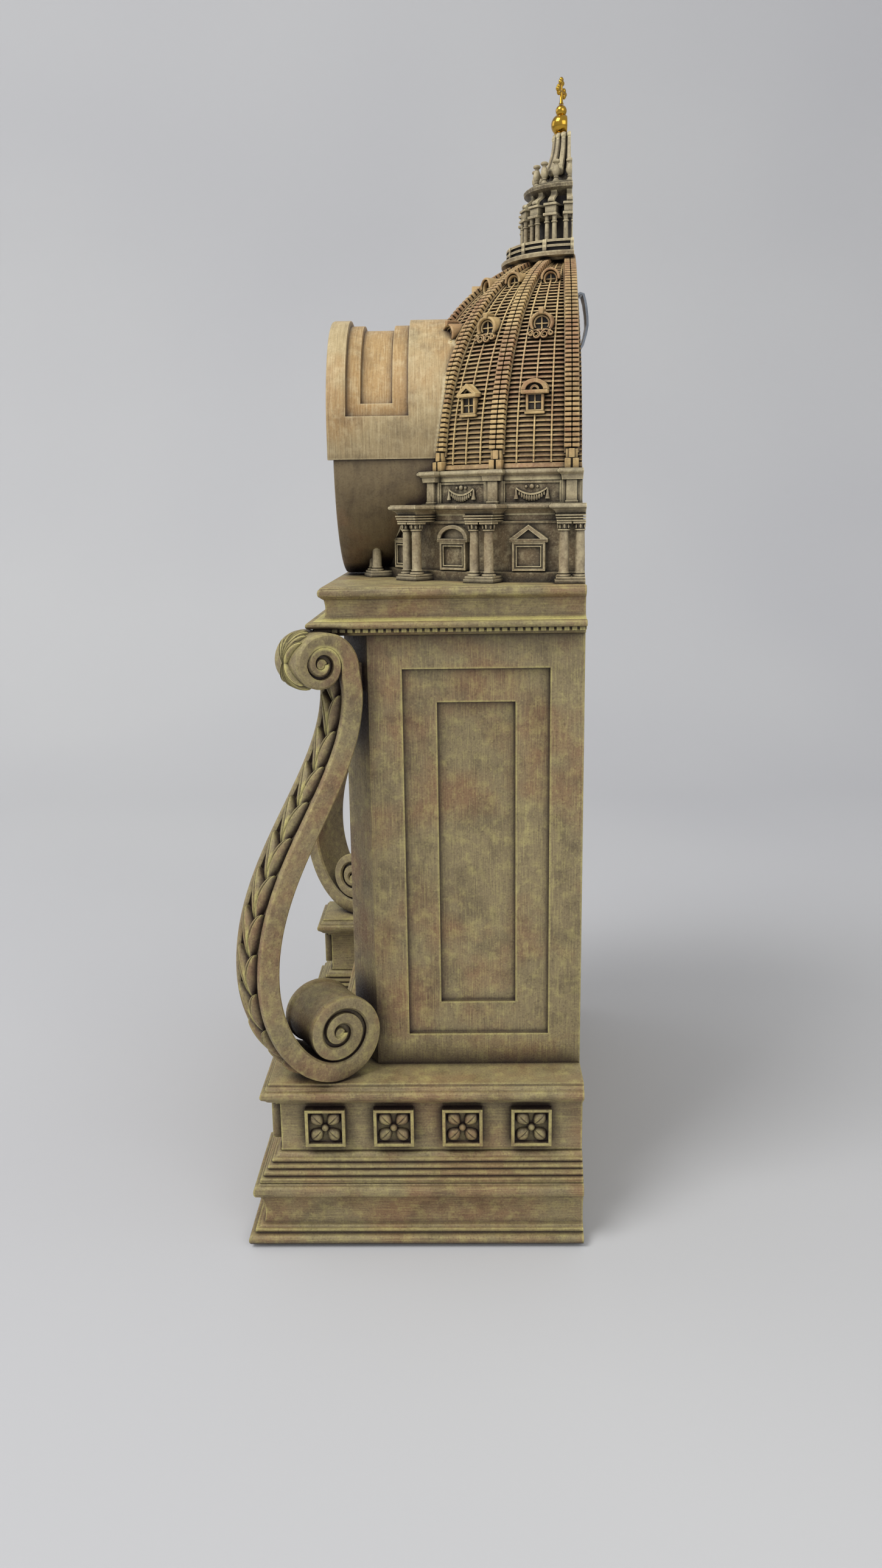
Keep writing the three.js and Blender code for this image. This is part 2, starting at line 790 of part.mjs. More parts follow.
function atticStorey() {
  const corniceDrop = atticTop - 2.4;
  const wall = turned([
    [0, entablatureTop], [atticRadius, entablatureTop], [atticRadius, corniceDrop],
    [atticRadius + 1.6, atticTop - 1], [atticRadius + 1.6, atticTop], [0, atticTop],
  ], ringSides);
  const reach = atticRadius + pierReach;
  const pier = join(
    block(atticRadius - 2, reach, -pairHalfGap - 0.8, pairHalfGap + 0.8, entablatureTop, corniceDrop),
    block(atticRadius - 2, reach + 1, -pairHalfGap - 2, pairHalfGap + 2, corniceDrop, atticTop),
  );
  const jamb = block(atticRadius - 2, atticRadius + 0.8, -pairHalfGap - 2.4, pairHalfGap + 2.4,
    entablatureTop, corniceDrop);
  const piers = pairAngles().map((a) => aimed(join(pier, jamb), a));
  return largest(cut(frontHalf(join(wall, ...piers)), drumRoom()));
}

// Dome: an elliptical shell of revolution, flat where the lantern stands
function domeProfile(radius, rise, steps) {
  const height = lanternFloor - atticTop;
  return Array.from({ length: steps + 1 }, (_, i) => {
    const z = (height * Math.sin((Math.PI / 2) * (i / steps)));
    return [radius * Math.sqrt(1 - (z / rise) ** 2), atticTop + z];
  });
}

function ribBar(reach, from, to) {
  const outer = domeProfile(domeRadius + reach, domeRise + reach, 6);
  const inner = domeProfile(domeRadius - 2, domeRise - 2, 3).reverse();
  const outline = [...outer, ...inner].map(([r, z]) => new THREE.Vector2(r, z));
  return plate(outline, from, to).rotateX(Math.PI / 2);
}

function domeRib() {
  const bar = ribBar(ribReach, ribHalfGap - ribWidth / 2, ribHalfGap + ribWidth / 2);
  const web = ribBar(ribWebReach, -ribHalfGap, ribHalfGap);
  const foot = block(domeRadius - 2, domeRadius + ribReach + 1, ribHalfGap - ribWidth / 2 - 0.3,
    ribHalfGap + ribWidth / 2 + 0.3, atticTop, atticTop + 4);
  const right = join(bar, foot.clone().translate(0, -ribHalfGap * 2, 0));
  const left = join(moved(bar, 0, ribHalfGap * 2, 0), foot);
  const between = block(domeRadius - 2, domeRadius + 1.4, -ribHalfGap, ribHalfGap,
    atticTop, atticTop + 3.4);
  return join(right, left, web, between);
}

function domeRadiusAt(z) {
  return domeRadius * Math.sqrt(1 - ((z - atticTop) / domeRise) ** 2);
}

function dome() {
  const outline = [[0, atticTop], ...domeProfile(domeRadius, domeRise, 6), [0, lanternFloor]];
  const shell = turned(outline, ringSides);
  const rib = domeRib();
  const ribs = pairAngles().map((a) => aimed(rib, a));
  const windows = bayAngles().flatMap((a, i) => {
    const foot = atticTop + windowRise;
    const wall = domeRadiusAt(foot + windowHeight / 2);
    const lower = pedimentWindow(wall, windowWidth, foot, foot + windowHeight, i % 2 === 1, windowProud);
    const arch = bulb(atticTop + archRise, archRadius);
    const eye = bulb(atticTop + eyeRise, eyeRadius);
    return [lower, arch, eye].map((piece) => aimed(piece, a));
  });
  const hanger = [strapTop, strapBottom].map((z) => block(
    -strapWidth / 2 - seam, strapWidth / 2 + seam, -strapRoot - seam, 1,
    z - strapThick / 2 - seam, z + strapThick / 2 + seam,
  ));
  return largest(cut(frontHalf(join(shell, ...ribs, ...windows)), drumRoom(), ...hanger));
}

function bulb(z, size) {
  const shape = turned([
    [0, -4], [size, -4], [size, 2.2], [0, 0.8],
  ], 8);
  return shape.rotateY(Math.PI / 2).translate(domeRadiusAt(z) + 0.6, 0, z);
}

// Lantern
function gallery() {
  const floorTop = lanternFloor + galleryThick;
  const floor = turned([
    [0, lanternFloor], [galleryRadius - 1.6, lanternFloor], [galleryRadius, lanternFloor + 0.8],
    [galleryRadius, floorTop], [0, floorTop],
  ], 24);
  const rail = turned([
    [railRadius - 0.9, railTop - 0.9], [railRadius, railTop - 0.9], [railRadius, railTop],
    [railRadius - 0.9, railTop], [railRadius - 0.9, railTop - 0.9],
  ], 24);
  const post = block(railRadius - 1.2, railRadius + 0.3, -0.7, 0.7, floorTop - 0.2, railTop);
  const posts = pairAngles().map((a) => aimed(post, a));
  return frontHalf(join(floor, rail, ...posts));
}

function lanternStorey() {
  const foot = lanternFloor + galleryThick;
  const core = turned([
    [0, foot], [lanternCore, foot], [lanternCore, bracketTop - 1], [lanternCorniceRadius - 1.4, bracketTop],
    [lanternCorniceRadius, bracketTop + 0.6], [lanternCorniceRadius, lanternCorniceTop],
    [0, lanternCorniceTop],
  ], 24);
  const shaft = moved(turned([
    [0, foot], [1.4, foot], [0.9, foot + 1.4], [0.9, lanternColumnTop - 1.6],
    [1.5, lanternColumnTop + 0.2], [0, lanternColumnTop + 0.2],
  ], 5), lanternColumnRing, 0, 0);
  const bay = join(
    moved(shaft, 0, -1.6, 0),
    moved(shaft, 0, 1.6, 0),
    block(lanternCore - 1, lanternColumnRing + 1.6, -3.1, 3.1, lanternColumnTop, lanternColumnTop + 1.2),
    block(lanternCore - 1, lanternColumnRing + 1, -2.5, 2.5, lanternColumnTop + 1.2, lanternBlockTop),
    block(lanternCore - 1, lanternColumnRing - 0.4, -1.2, 1.2, lanternBlockTop, bracketTop + 0.2),
  );
  return largest(frontHalf(join(core, ...pairAngles().map((a) => aimed(bay, a)))));
}

function urn(size, height, foot) {
  return turned([
    [0, foot], [size * 0.6, foot], [size, foot + height * 0.42], [size * 0.42, foot + height * 0.78],
    [size * 0.7, foot + height], [0, foot + height],
  ], smallSides);
}

function spire() {
  const foot = lanternCorniceTop;
  const neck = foot + urnHeight * 0.9;
  const core = turned([
    [0, foot], [urnRing + 1.6, foot], [urnRing + 1.6, foot + 0.8], [spireFootRadius + 1, foot + 0.8],
    [spireFootRadius - 0.6, foot + 4.2], [spireFootRadius + 0.4, neck], [spireFootRadius - 1.6, neck + 0.8],
    [spireHeadRadius - 1.4, spireTop - 2], [spireHeadRadius - 0.6, spireTop], [0, spireTop],
  ], 20);
  const candle = moved(urn(2.1, urnHeight, foot + 0.7), urnRing - 0.6, 0, 0);
  const lean = Math.atan2(spireFootRadius - spireHeadRadius, spireTop - neck);
  const reed = new THREE.CylinderGeometry(1.05, 1.5, spireTop - neck, 5).rotateX(Math.PI / 2);
  const out = (spireFootRadius + spireHeadRadius) / 2 - 1.1;
  const flute = reed.rotateY(-lean).translate(out, 0, (neck + spireTop) / 2);
  const parts = pairAngles().flatMap((a) => [aimed(candle, a), aimed(flute, a)]);
  return largest(frontHalf(join(core, ...parts)));
}

// Finial
function finialBall() {
  const orb = new THREE.SphereGeometry(orbRadius, 14, 8).rotateX(Math.PI / 2);
  const knop = new THREE.SphereGeometry(knopRadius, 10, 6).rotateX(Math.PI / 2);
  const orbCentre = spireTop + orbRadius;
  const neck = rod(1.1, orbCentre, knopCentre, 8);
  const foot = rod(2.2, spireTop, orbCentre, 10);
  const body = join(foot, moved(orb, 0, 0, orbCentre), neck, moved(knop, 0, 0, knopCentre));
  return common(moved(body, 0, -finialSetback, 0), block(-20, 20, -20, -1, 0, crossTop + 20));
}

function finialCross() {
  const foot = knopCentre + knopRadius;
  const armHeight = crossTop - crossArm - 0.6;
  const bead = new THREE.OctahedronGeometry(1.2);
  const tip = [[0, 0.6], [-1, -0.2], [1, -0.2]];
  const trefoil = (x, z, turn) => tip.map(([u, v]) => {
    const dx = u * Math.cos(turn) - v * Math.sin(turn);
    const dz = u * Math.sin(turn) + v * Math.cos(turn);
    return moved(bead, x + dx, 0, z + dz);
  });
  const parts = [
    block(-0.55, 0.55, -0.5, 0.5, foot - 0.3, crossTop - 1.6),
    block(-crossArm + 1, crossArm - 1, -0.5, 0.5, armHeight - 0.5, armHeight + 0.5),
    ...trefoil(0, crossTop - 1.65, 0),
    ...trefoil(crossArm - 1.3, armHeight, -Math.PI / 2),
    ...trefoil(-crossArm + 1.3, armHeight, Math.PI / 2),
  ];
  const cross = join(...parts).rotateZ(THREE.MathUtils.degToRad(-crossTwist));
  const seat = new THREE.SphereGeometry(knopRadius + seam / 2, 10, 6).rotateX(Math.PI / 2);
  return cut(moved(cross, 0, -finialSetback, 0), moved(seat, 0, -finialSetback, knopCentre));
}

// Clock case: lower drum, hood over the upper half, panels sunk round the hood, bore for the insert
function hoodPanel(front, back, foot, depth) {
  const beyond = hoodRadius + 3;
  const ring = turned([
    [hoodRadius - depth, back], [beyond, back], [beyond, front],
    [hoodRadius - depth, front], [hoodRadius - depth, back],
  ], drumSides).rotateX(Math.PI / 2).translate(0, 0, hoodCentre);
  const upper = block(-beyond - 1, beyond + 1, -front - 1, -back + 1,
    hoodCentre + foot, hoodCentre + beyond + 1);
  return common(ring, upper);
}

function clockDrum() {
  const seat = bezelSetback + bezelThick + cupFlange + seam;
  return cut(
    clockCase(0, drumBack, 0),
    hoodPanel(hoodPanelFront, hoodPanelBack, hoodPanelFoot, hoodPanelStep),
    hoodPanel(hoodInnerFront, hoodInnerBack, hoodInnerFoot, hoodPanelStep * 1.7),
    disc(boreRadius, -5, drumFront - boreBottom, turnSides),
    disc(bezelRadius + seam, -5, seat, turnSides),
  );
}

// Insert
const bezelBack = bezelSetback + bezelThick;
const lensFront = bezelSetback + bezelLip + seam;
const cupFront = bezelBack;
const cupBack = cupFront + cupDepth;
const movementFront = dialSetback + dialThick;
const movementBack = movementFront + movementDepth;
const batteryFront = movementFront + batterySetback;

function bezel() {
  const inner = cupRadius - cupWall + 0.9;
  return turnedAcross([
    [inner, bezelBack], [bezelRadius, bezelBack], [bezelRadius, bezelSetback + 1.6],
    [bezelRadius - 1.2, bezelSetback + 0.3], [bezelRadius - 2.6, bezelSetback],
    [bezelSight + 1, bezelSetback + 0.5], [bezelSight, bezelSetback + bezelLip],
    [inner, bezelSetback + bezelLip], [inner, bezelBack],
  ], turnSides);
}

function lens() {
  return disc(cupRadius - cupWall + 0.9 - seam, lensFront, lensFront + lensThick, turnSides);
}

function cup() {
  const inner = cupRadius - cupWall;
  const shell = turnedAcross([
    [0, cupBack], [cupRadius, cupBack], [cupRadius, cupFront + cupFlange],
    [bezelRadius - 1, cupFront + cupFlange],
    [bezelRadius - 1, cupFront], [inner, cupFront], [inner, cupBack - cupWall], [0, cupBack - cupWall],
  ], turnSides);
  return cut(shell, knobHole(), batteryHole(batteryCapRadius + seam));
}

function knobPlace() {
  const a = THREE.MathUtils.degToRad(motionTurn);
  return [motionArm * Math.cos(a), motionArm * Math.sin(a)];
}

function knobHole() {
  const [x, z] = knobPlace();
  return moved(disc(1.9, movementBack - 3, cupBack + 2, 16), x, 0, z);
}

function batteryHole(radius) {
  return moved(disc(radius, movementBack - 3, cupBack + 2, 24), batteryAcross, 0, -batteryDown);
}

function gasket() {
  const back = cupBack - gasketSetback;
  return turnedAcross([
    [cupRadius + seam, back], [boreRadius - seam, back],
    [boreRadius - seam, back - gasketWidth], [cupRadius + seam, back - gasketWidth],
    [cupRadius + seam, back],
  ], turnSides);
}

function dial() {
  return cut(
    disc(cupRadius - cupWall - seam, dialSetback, movementFront, turnSides),
    disc(hourTubeRadius + runningGap, dialSetback - 1, movementFront + 1, 16),
  );
}

function movementFrame() {
  const half = movementSize / 2;
  const y0 = -drumFront + movementFront + seam;
  const y1 = -drumFront + movementBack - movementWall;
  const shape = new THREE.Shape();
  const corner = 7;
  shape.absarc(half - corner, half - corner, corner, 0, Math.PI / 2);
  shape.absarc(-half + corner, half - corner, corner, Math.PI / 2, Math.PI);
  shape.absarc(-half + corner, -half + corner, corner, Math.PI, Math.PI * 1.5);
  shape.absarc(half - corner, -half + corner, corner, Math.PI * 1.5, Math.PI * 2);
  const depth = y1 - y0;
  const body = new THREE.ExtrudeGeometry(shape, { depth, bevelEnabled: false, steps: 1, curveSegments: 4 });
  body.rotateX(Math.PI / 2).translate(0, y1, clockHeight);
  return { body, half, y0, y1 };
}

function movementCase() {
  const { body, half, y0, y1 } = movementFrame();
  const inner = half - movementWall - 2.4;
  const room = block(-inner, inner, y0 + movementWall, y1 + 1, clockHeight - inner, clockHeight + inner);
  const cell = moved(disc(batteryRadius + movementWall, movementFront, movementBack + 1, 20),
    batteryAcross, 0, -batteryDown);
  const pocket = moved(disc(batteryRadius + seam, batteryFront, movementBack + 1, 20),
    batteryAcross, 0, -batteryDown);
  const keep = common(cell, body);
  const [x, z] = knobPlace();
  return cut(
    join(cut(body, room), keep),
    pocket,
    disc(hourTubeRadius + runningGap, movementFront - 1, movementFront + 4, 16),
    moved(disc(1 + runningGap, movementFront + movementWall - 0.9, movementFront + 3, 12), x, 0, z),
  );
}

function movementLid() {
  const { body, half, y0, y1 } = movementFrame();
  const shift = y1 - y0 + seam;
  const sheet = block(-half - 1, half + 1, y1 + seam, y1 + movementWall,
    clockHeight - half - 1, clockHeight + half + 1);
  const slab = common(moved(body, 0, shift, 0), sheet);
  return cut(slab, knobHole(), batteryHole(batteryRadius + seam));
}

// A gear with straight-sided teeth; one tooth points along the given angle in degrees
function wheel(teeth, radius, d0, d1, bore, toothAt) {
  const outline = Array.from({ length: teeth * 2 }, (_, i) => {
    const r = i % 2 ? radius - toothRoot : radius + toothTip;
    const a = THREE.MathUtils.degToRad(toothAt + (i * 180) / teeth);
    return new THREE.Vector2(r * Math.cos(a), r * Math.sin(a));
  });
  const shape = new THREE.Shape(outline);
  if (bore) shape.holes.push(new THREE.Path().absarc(0, 0, bore, 0, Math.PI * 2, true));
  const geometry = new THREE.ExtrudeGeometry(shape, {
    depth: d1 - d0, bevelEnabled: false, steps: 1, curveSegments: 5,
  });
  return geometry.rotateX(Math.PI / 2).translate(0, -drumFront + d1, clockHeight);
}

const boardBack = movementFront + seam * 2 + movementWall + boardThick;
const hourHandDepth = dialSetback - handPitch - handThick;
const minuteHandDepth = hourHandDepth - handPitch;
const secondHandDepth = minuteHandDepth - handPitch;
const motionFront = movementFront + seam + movementWall + runningGap;
const hourWheelFront = motionFront + hourTubeStub + seam;
const minuteWheelFront = hourWheelFront + gearThick + runningGap;
const cannonFront = minuteWheelFront - 0.05;
const cannonBack = minuteWheelFront + gearThick + 0.3;
const secondWheelDepth = cannonBack + runningGap;

// Motion work: two pairs on one centre distance, one turn in three and then one turn in four
const cannonPitch = (motionArm * cannonTeeth) / (cannonTeeth + minuteWheelTeeth);
const minuteWheelPitch = motionArm - cannonPitch;
const minutePinionPitch = (motionArm * minutePinionTeeth) / (minutePinionTeeth + hourWheelTeeth);
const hourWheelPitch = motionArm - minutePinionPitch;

function handBlade(length, tail, width, d) {
  const tip = width * 0.22;
  const outline = [
    [-width * 0.3, -tail], [width * 0.3, -tail], [width * 0.35, 0], [width * 0.28, length * 0.52],
    [width * 0.72, length * 0.66], [tip, length * 0.8], [0, length],
    [-tip, length * 0.8], [-width * 0.72, length * 0.66], [-width * 0.28, length * 0.52],
    [-width * 0.35, 0],
  ].map(([x, z]) => new THREE.Vector2(x, z));
  const geometry = plate(outline, 0, handThick);
  return geometry.rotateX(Math.PI / 2).translate(0, -drumFront + d + handThick, clockHeight);
}

function hourHand() {
  const tubeEnd = motionFront + hourTubeStub;
  const outer = join(
    handBlade(hourHandLength, 4, 3.4, hourHandDepth),
    disc(3, hourHandDepth, hourHandDepth + handThick, 16),
    disc(hourTubeRadius, hourHandDepth, tubeEnd, 14),
  );
  return cut(outer, disc(minuteTubeRadius + seam, hourHandDepth - 1, tubeEnd + 1, 12));
}

function hourWheel() {
  const back = hourWheelFront + gearThick;
  return wheel(hourWheelTeeth, hourWheelPitch, hourWheelFront, back, minuteTubeRadius + seam, motionTurn);
}

function minuteHand() {
  const outer = join(
    handBlade(minuteHandLength, 5, 2.8, minuteHandDepth),
    disc(2.4, minuteHandDepth, minuteHandDepth + handThick, 16),
    disc(minuteTubeRadius, minuteHandDepth, cannonFront - seam, 12),
  );
  return cut(outer, disc(secondPinRadius + seam, minuteHandDepth - 1, cannonFront, 10));
}

function cannonPinion() {
  return wheel(cannonTeeth, cannonPitch, cannonFront, cannonBack, secondPinRadius + seam, motionTurn);
}

function secondHand() {
  const blade = handBlade(secondHandLength, 8, 1.2, secondHandDepth);
  return join(
    blade,
    disc(1.5, secondHandDepth, secondHandDepth + handThick, 14),
    disc(secondPinRadius, secondHandDepth, secondWheelDepth + gearThick + 1.4, 8),
    disc(secondWheelRadius, secondWheelDepth, secondWheelDepth + gearThick, 16),
  );
}

// Setting work: a wheel driven by the cannon pinion, its pinion, stem and knob behind the insert
function minuteWheel() {
  const [x, z] = knobPlace();
  const parts = [
    wheel(minuteWheelTeeth, minuteWheelPitch, minuteWheelFront, minuteWheelFront + gearThick, 0,
      motionTurn + 180 + 180 / minuteWheelTeeth),
    wheel(minutePinionTeeth, minutePinionPitch, hourWheelFront - 0.1, minuteWheelFront + 0.2, 0,
      motionTurn + 180 + 180 / minutePinionTeeth),
    disc(1, motionFront - 0.9, minuteWheelFront, 10),
    disc(1.4, minuteWheelFront + gearThick - 0.2, cupBack + 0.4, 12),
  ];
  return moved(join(...parts), x, 0, z);
}

function settingKnob() {
  const [x, z] = knobPlace();
  const ridges = 12;
  const outline = Array.from({ length: ridges * 2 }, (_, i) => {
    const r = knobRadius - (i % 2 ? 0.4 : 0);
    const a = (i / (ridges * 2)) * Math.PI * 2;
    return new THREE.Vector2(r * Math.cos(a), r * Math.sin(a));
  });
  const d1 = cupBack + 0.7 + knobThick;
  const grip = plate(outline, 0, knobThick).rotateX(Math.PI / 2);
  return grip.translate(x, -drumFront + d1, clockHeight + z);
}

function battery() {
  const d0 = batteryFront + seam;
  const cell = disc(batteryRadius, d0, d0 + batteryThick, 20);
  return moved(cell, batteryAcross, 0, -batteryDown);
}

function batteryContact() {
  const d0 = batteryFront + seam * 2 + batteryThick;
  return moved(disc(batteryRadius - 1.2, d0, d0 + contactThick, 12), batteryAcross, 0, -batteryDown);
}

function batteryCap() {
  const stem = batteryFront + seam * 3 + batteryThick + contactThick;
  const cap = join(
    disc(batteryCapRadius, cupBack - cupWall, cupBack + 0.6, 24),
    disc(batteryRadius, stem, cupBack, 20),
  );
  const coin = batteryCapRadius * 0.7;
  const slot = block(-coin, coin, -drumFront + cupBack, -drumFront + cupBack + 2,
    clockHeight - 0.7, clockHeight + 0.7);
  return moved(cut(cap, slot), batteryAcross, 0, -batteryDown);
}

function driveCoil() {
  const y = -drumFront + boardBack + seam + coilRadius;
  const wound = coilRadius * 0.8;
  const half = coilLength / 2;
  const bobbin = turned([
    [0, -half], [coilRadius, -half], [coilRadius, -half + 0.8], [wound, -half + 0.8],
    [wound, half - 0.8], [coilRadius, half - 0.8], [coilRadius, half], [0, half],
  ], 10);
  const middle = clockHeight + boardBottom + boardHeight / 2;
  return bobbin.rotateY(Math.PI / 2).translate(-coilLength / 4, y, middle);
}

function circuitBoard() {
  const y = -drumFront + boardBack;
  const low = clockHeight + boardBottom;
  return block(boardLeft, boardRight, y - boardThick, y, low, low + boardHeight);
}

// Wall strap: a bowed strip let into two slots in the back
function wallStrap() {
  const path = new THREE.CatmullRomCurve3([
    [-strapRoot, strapTop], [0.8, strapTop], [strapStandoff * 0.72, strapTop + 2.2],
    [strapStandoff * 0.93, strapTop - 3], [strapStandoff, (strapTop + strapBottom) / 2],
    [strapStandoff * 0.7, strapBottom + 2], [1.2, strapBottom], [-strapRoot, strapBottom],
  ].map(([y, z]) => new THREE.Vector3(y, z, 0)), false, 'catmullrom', 0.35);
  const line = path.getPoints(16).map((p) => new THREE.Vector2(p.x, p.y));
  const half = (strapThick - 0.2) / 2;
  const strip = plate(bandOutline(line, -half, half), -strapWidth / 2, strapWidth / 2);
  return strip.rotateX(Math.PI / 2).rotateZ(Math.PI / 2);
}

function footPad() {
  return rod(footRadius, 0, footHeight, 12);
}

// Assembly
const clock = new THREE.Group();

function add(name, geometry, color, roughness, metalness, parent = clock) {
  const material = new THREE.MeshStandardMaterial({ color, roughness, metalness, flatShading: true });
  const mesh = new THREE.Mesh(weld(geometry), material);
  mesh.name = name;
  parent.add(mesh);
  return mesh;
}

const padX = baseHalfWidth - footInset + plinthReach / 2;
const padFront = -(baseDepth - footInset + plinthReach / 2);
const pads = {
  foot_front_left: [-padX, padFront],
  foot_front_right: [padX, padFront],
  foot_back_left: [-padX, -footInset],
  foot_back_right: [padX, -footInset],
};
for (const [name, [x, y]] of Object.entries(pads)) {
  add(name, footPad(), feltBlack, 0.95, 0).position.set(x, y, 0);
}

add('base_plinth', plinth(), stoneTan, 0.8, 0);
add('base_step_moulding', stepMoulding(), stoneTan, 0.8, 0);
add('base_frieze_cap', friezeAndCap(), stoneTan, 0.8, 0);

const tile = rosetteTile();
const tileHeight = (friezeBottom + friezeTop) / 2;
for (let i = 0; i < tileSides; i += 1) {
  const y = -tileBackMargin - i * tilePitch;
  const right = add(`side_tile_right_${i + 1}`, tile, stoneTan, 0.8, 0);
  right.rotation.z = Math.PI / 2;
  right.position.set(baseHalfWidth + seam, y, tileHeight);
  const left = add(`side_tile_left_${i + 1}`, tile, stoneTan, 0.8, 0);
  left.rotation.z = -Math.PI / 2;
  left.position.set(-baseHalfWidth - seam, y, tileHeight);
}
const frontTileX = baseHalfWidth - cornerBlockWidth / 2;
add('front_tile_right', tile, stoneTan, 0.8, 0).position.set(frontTileX, -baseDepth - seam, tileHeight);
add('front_tile_left', tile, stoneTan, 0.8, 0).position.set(-frontTileX, -baseDepth - seam, tileHeight);

add('pedestal', pedestal(), stoneTan, 0.8, 0);
add('cornice_dentil_bed', corniceBed(), stoneTan, 0.8, 0);
add('cornice_slab', corniceSlab(), stoneTan, 0.8, 0);

const consoleBody = scrollConsole();
add('scroll_console_right', consoleBody, stoneTan, 0.8, 0);
add('scroll_console_left', mirrored(consoleBody), stoneTan, 0.8, 0);

add('temple_storey', templeStorey(), stoneGrey, 0.85, 0);
add('attic_storey', atticStorey(), stoneGrey, 0.85, 0);
add('dome', dome(), stoneBrown, 0.85, 0);
add('lantern_gallery', gallery(), stoneGrey, 0.85, 0);
add('lantern_storey', lanternStorey(), stoneGrey, 0.85, 0);
add('lantern_spire', spire(), stoneGrey, 0.85, 0);
add('finial_orb', finialBall(), gilt, 0.25, 1);
add('finial_cross', finialCross(), gilt, 0.25, 1);
add('wall_hanger', wallStrap(), steelGrey, 0.45, 0.9);
add('clock_drum_hood', clockDrum(), stoneTan, 0.8, 0);

const insert = new THREE.Group();
clock.add(insert);
add('insert_bezel', bezel(), gilt, 0.3, 1, insert);
add('insert_lens', lens(), '#dfe8ea', 0.05, 0, insert);
add('insert_cup', cup(), steelGrey, 0.5, 0.8, insert);
add('insert_gasket', gasket(), feltBlack, 0.9, 0, insert);
add('dial', dial(), '#f1ead6', 0.6, 0, insert);
add('movement_case', movementCase(), '#232427', 0.5, 0, insert);
add('movement_lid', movementLid(), '#232427', 0.5, 0, insert);
add('drive_coil', driveCoil(), '#a4502a', 0.5, 0.6, insert);
add('circuit_board', circuitBoard(), '#2e5a3a', 0.6, 0, insert);
add('battery', battery(), '#b9bcc0', 0.3, 0.9, insert);
add('battery_contact', batteryContact(), '#c9b26a', 0.35, 0.9, insert);
add('battery_cap', batteryCap(), '#2b2c2f', 0.5, 0, insert);
add('hour_hand', hourHand(), '#141414', 0.4, 0.4, insert);
add('hour_wheel', hourWheel(), '#e6e2d6', 0.6, 0, insert);
add('minute_hand', minuteHand(), '#141414', 0.4, 0.4, insert);
add('cannon_pinion', cannonPinion(), '#e6e2d6', 0.6, 0, insert);
add('second_hand_wheel', secondHand(), '#141414', 0.4, 0.4, insert);
add('minute_wheel', minuteWheel(), '#e6e2d6', 0.6, 0, insert);
add('setting_knob', settingKnob(), '#2b2c2f', 0.5, 0, insert);

// The finished clock stands with the middle of its footprint over the origin
const bounds = new THREE.Box3().setFromObject(clock);
clock.position.y = -(bounds.min.y + bounds.max.y) / 2;

export default clock;
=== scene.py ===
"""A cast resin mantel clock: scroll consoles, a pedestal, and a half-round domed building behind a clock drum."""
from math import cos, hypot, pi, radians, sin, sqrt, tan

import bmesh
import bpy
import numpy as np
from mathutils import Matrix, Vector


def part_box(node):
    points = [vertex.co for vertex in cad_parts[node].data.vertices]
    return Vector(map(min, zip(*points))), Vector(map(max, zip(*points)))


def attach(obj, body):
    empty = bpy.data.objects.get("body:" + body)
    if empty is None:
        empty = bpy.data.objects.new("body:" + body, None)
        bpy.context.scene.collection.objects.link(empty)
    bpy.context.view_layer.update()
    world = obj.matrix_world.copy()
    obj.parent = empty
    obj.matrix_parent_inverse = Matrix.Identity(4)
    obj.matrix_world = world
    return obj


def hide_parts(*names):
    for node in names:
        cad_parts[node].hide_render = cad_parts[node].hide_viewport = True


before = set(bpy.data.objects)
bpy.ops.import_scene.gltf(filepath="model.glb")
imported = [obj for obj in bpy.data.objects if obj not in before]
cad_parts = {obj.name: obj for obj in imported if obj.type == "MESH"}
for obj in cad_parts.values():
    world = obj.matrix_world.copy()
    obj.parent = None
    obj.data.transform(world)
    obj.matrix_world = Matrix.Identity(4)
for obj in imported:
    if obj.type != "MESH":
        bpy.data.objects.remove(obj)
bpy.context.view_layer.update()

bl_info = {
    "name": "Domed mantel clock",
    "version": (1, 0, 0),
    "blender": (4, 5, 0),
    "location": "3D View > Sidebar > Clock",
    "description": "Builds a cast resin clock piece by piece over its solid model",
    "category": "Add Mesh",
}

# Lengths are in millimetres: X across, Y zero at the flat back and minus to the front, Z up.
# Only seat() turns them into metres.
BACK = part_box("pedestal")[1][1]

FOOT_X, FOOT_Y = 84.15, (("front", -96.25), ("back", -15.0))
BASE_HALF, BASE_DEPTH, BASE_CENTRE, BASE_CORNER = 93.6, 105.7, 84.0, 20.8
FOOT_TOP, PLINTH_TOP, FRIEZE_LOW, FRIEZE_TOP, BASE_TOP = 1.2, 22.6, 31.4, 49.8, 58.6
TILE_ROW = [-17.9 - 23.9 * i for i in range(4)]
TILE_HEIGHT, TILE_SIZE, TILE_DEPTH, SEAM = 41.6, 14.0, 3.0, 0.3
PED_HALF, PED_SIDE, PED_DEPTH, PED_TOP = 81.5, 71.6, 80.3, 211.0
CORNICE_FRONT = 84.5
NOSE_LOW, NOSE_TOP, FASCIA_TOP, SLAB_TOP = 213.6, 215.8, 223.2, 226.6
TURN = radians(33)  # how far the cut corner and its scroll face away from the front
CANT = (PED_DEPTH - PED_SIDE) / tan(TURN)  # width that the cut corner takes off the pedestal's front
STRAP_MIDDLE, STRAP_WIDTH_LOW, STRAP_WIDTH_TOP = 23.7, 22.0, 18.0
# Each scroll: its eye, the angle where it starts, and its reach at each quarter turn
UPPER_EYE, UPPER_START, UPPER_CURL = (122.3, 203.0), 180, (13.3, 9.7, 8.9, 7.9, 7.0, 6.2, 5.0, 3.7, 2.7)
LOWER_EYE, LOWER_START = (121.5, 76.5), 270
LOWER_CURL = (17.5, 15.6, 12.3, 10.8, 9.6, 9.0, 7.0, 5.0, 3.7, 3.0)
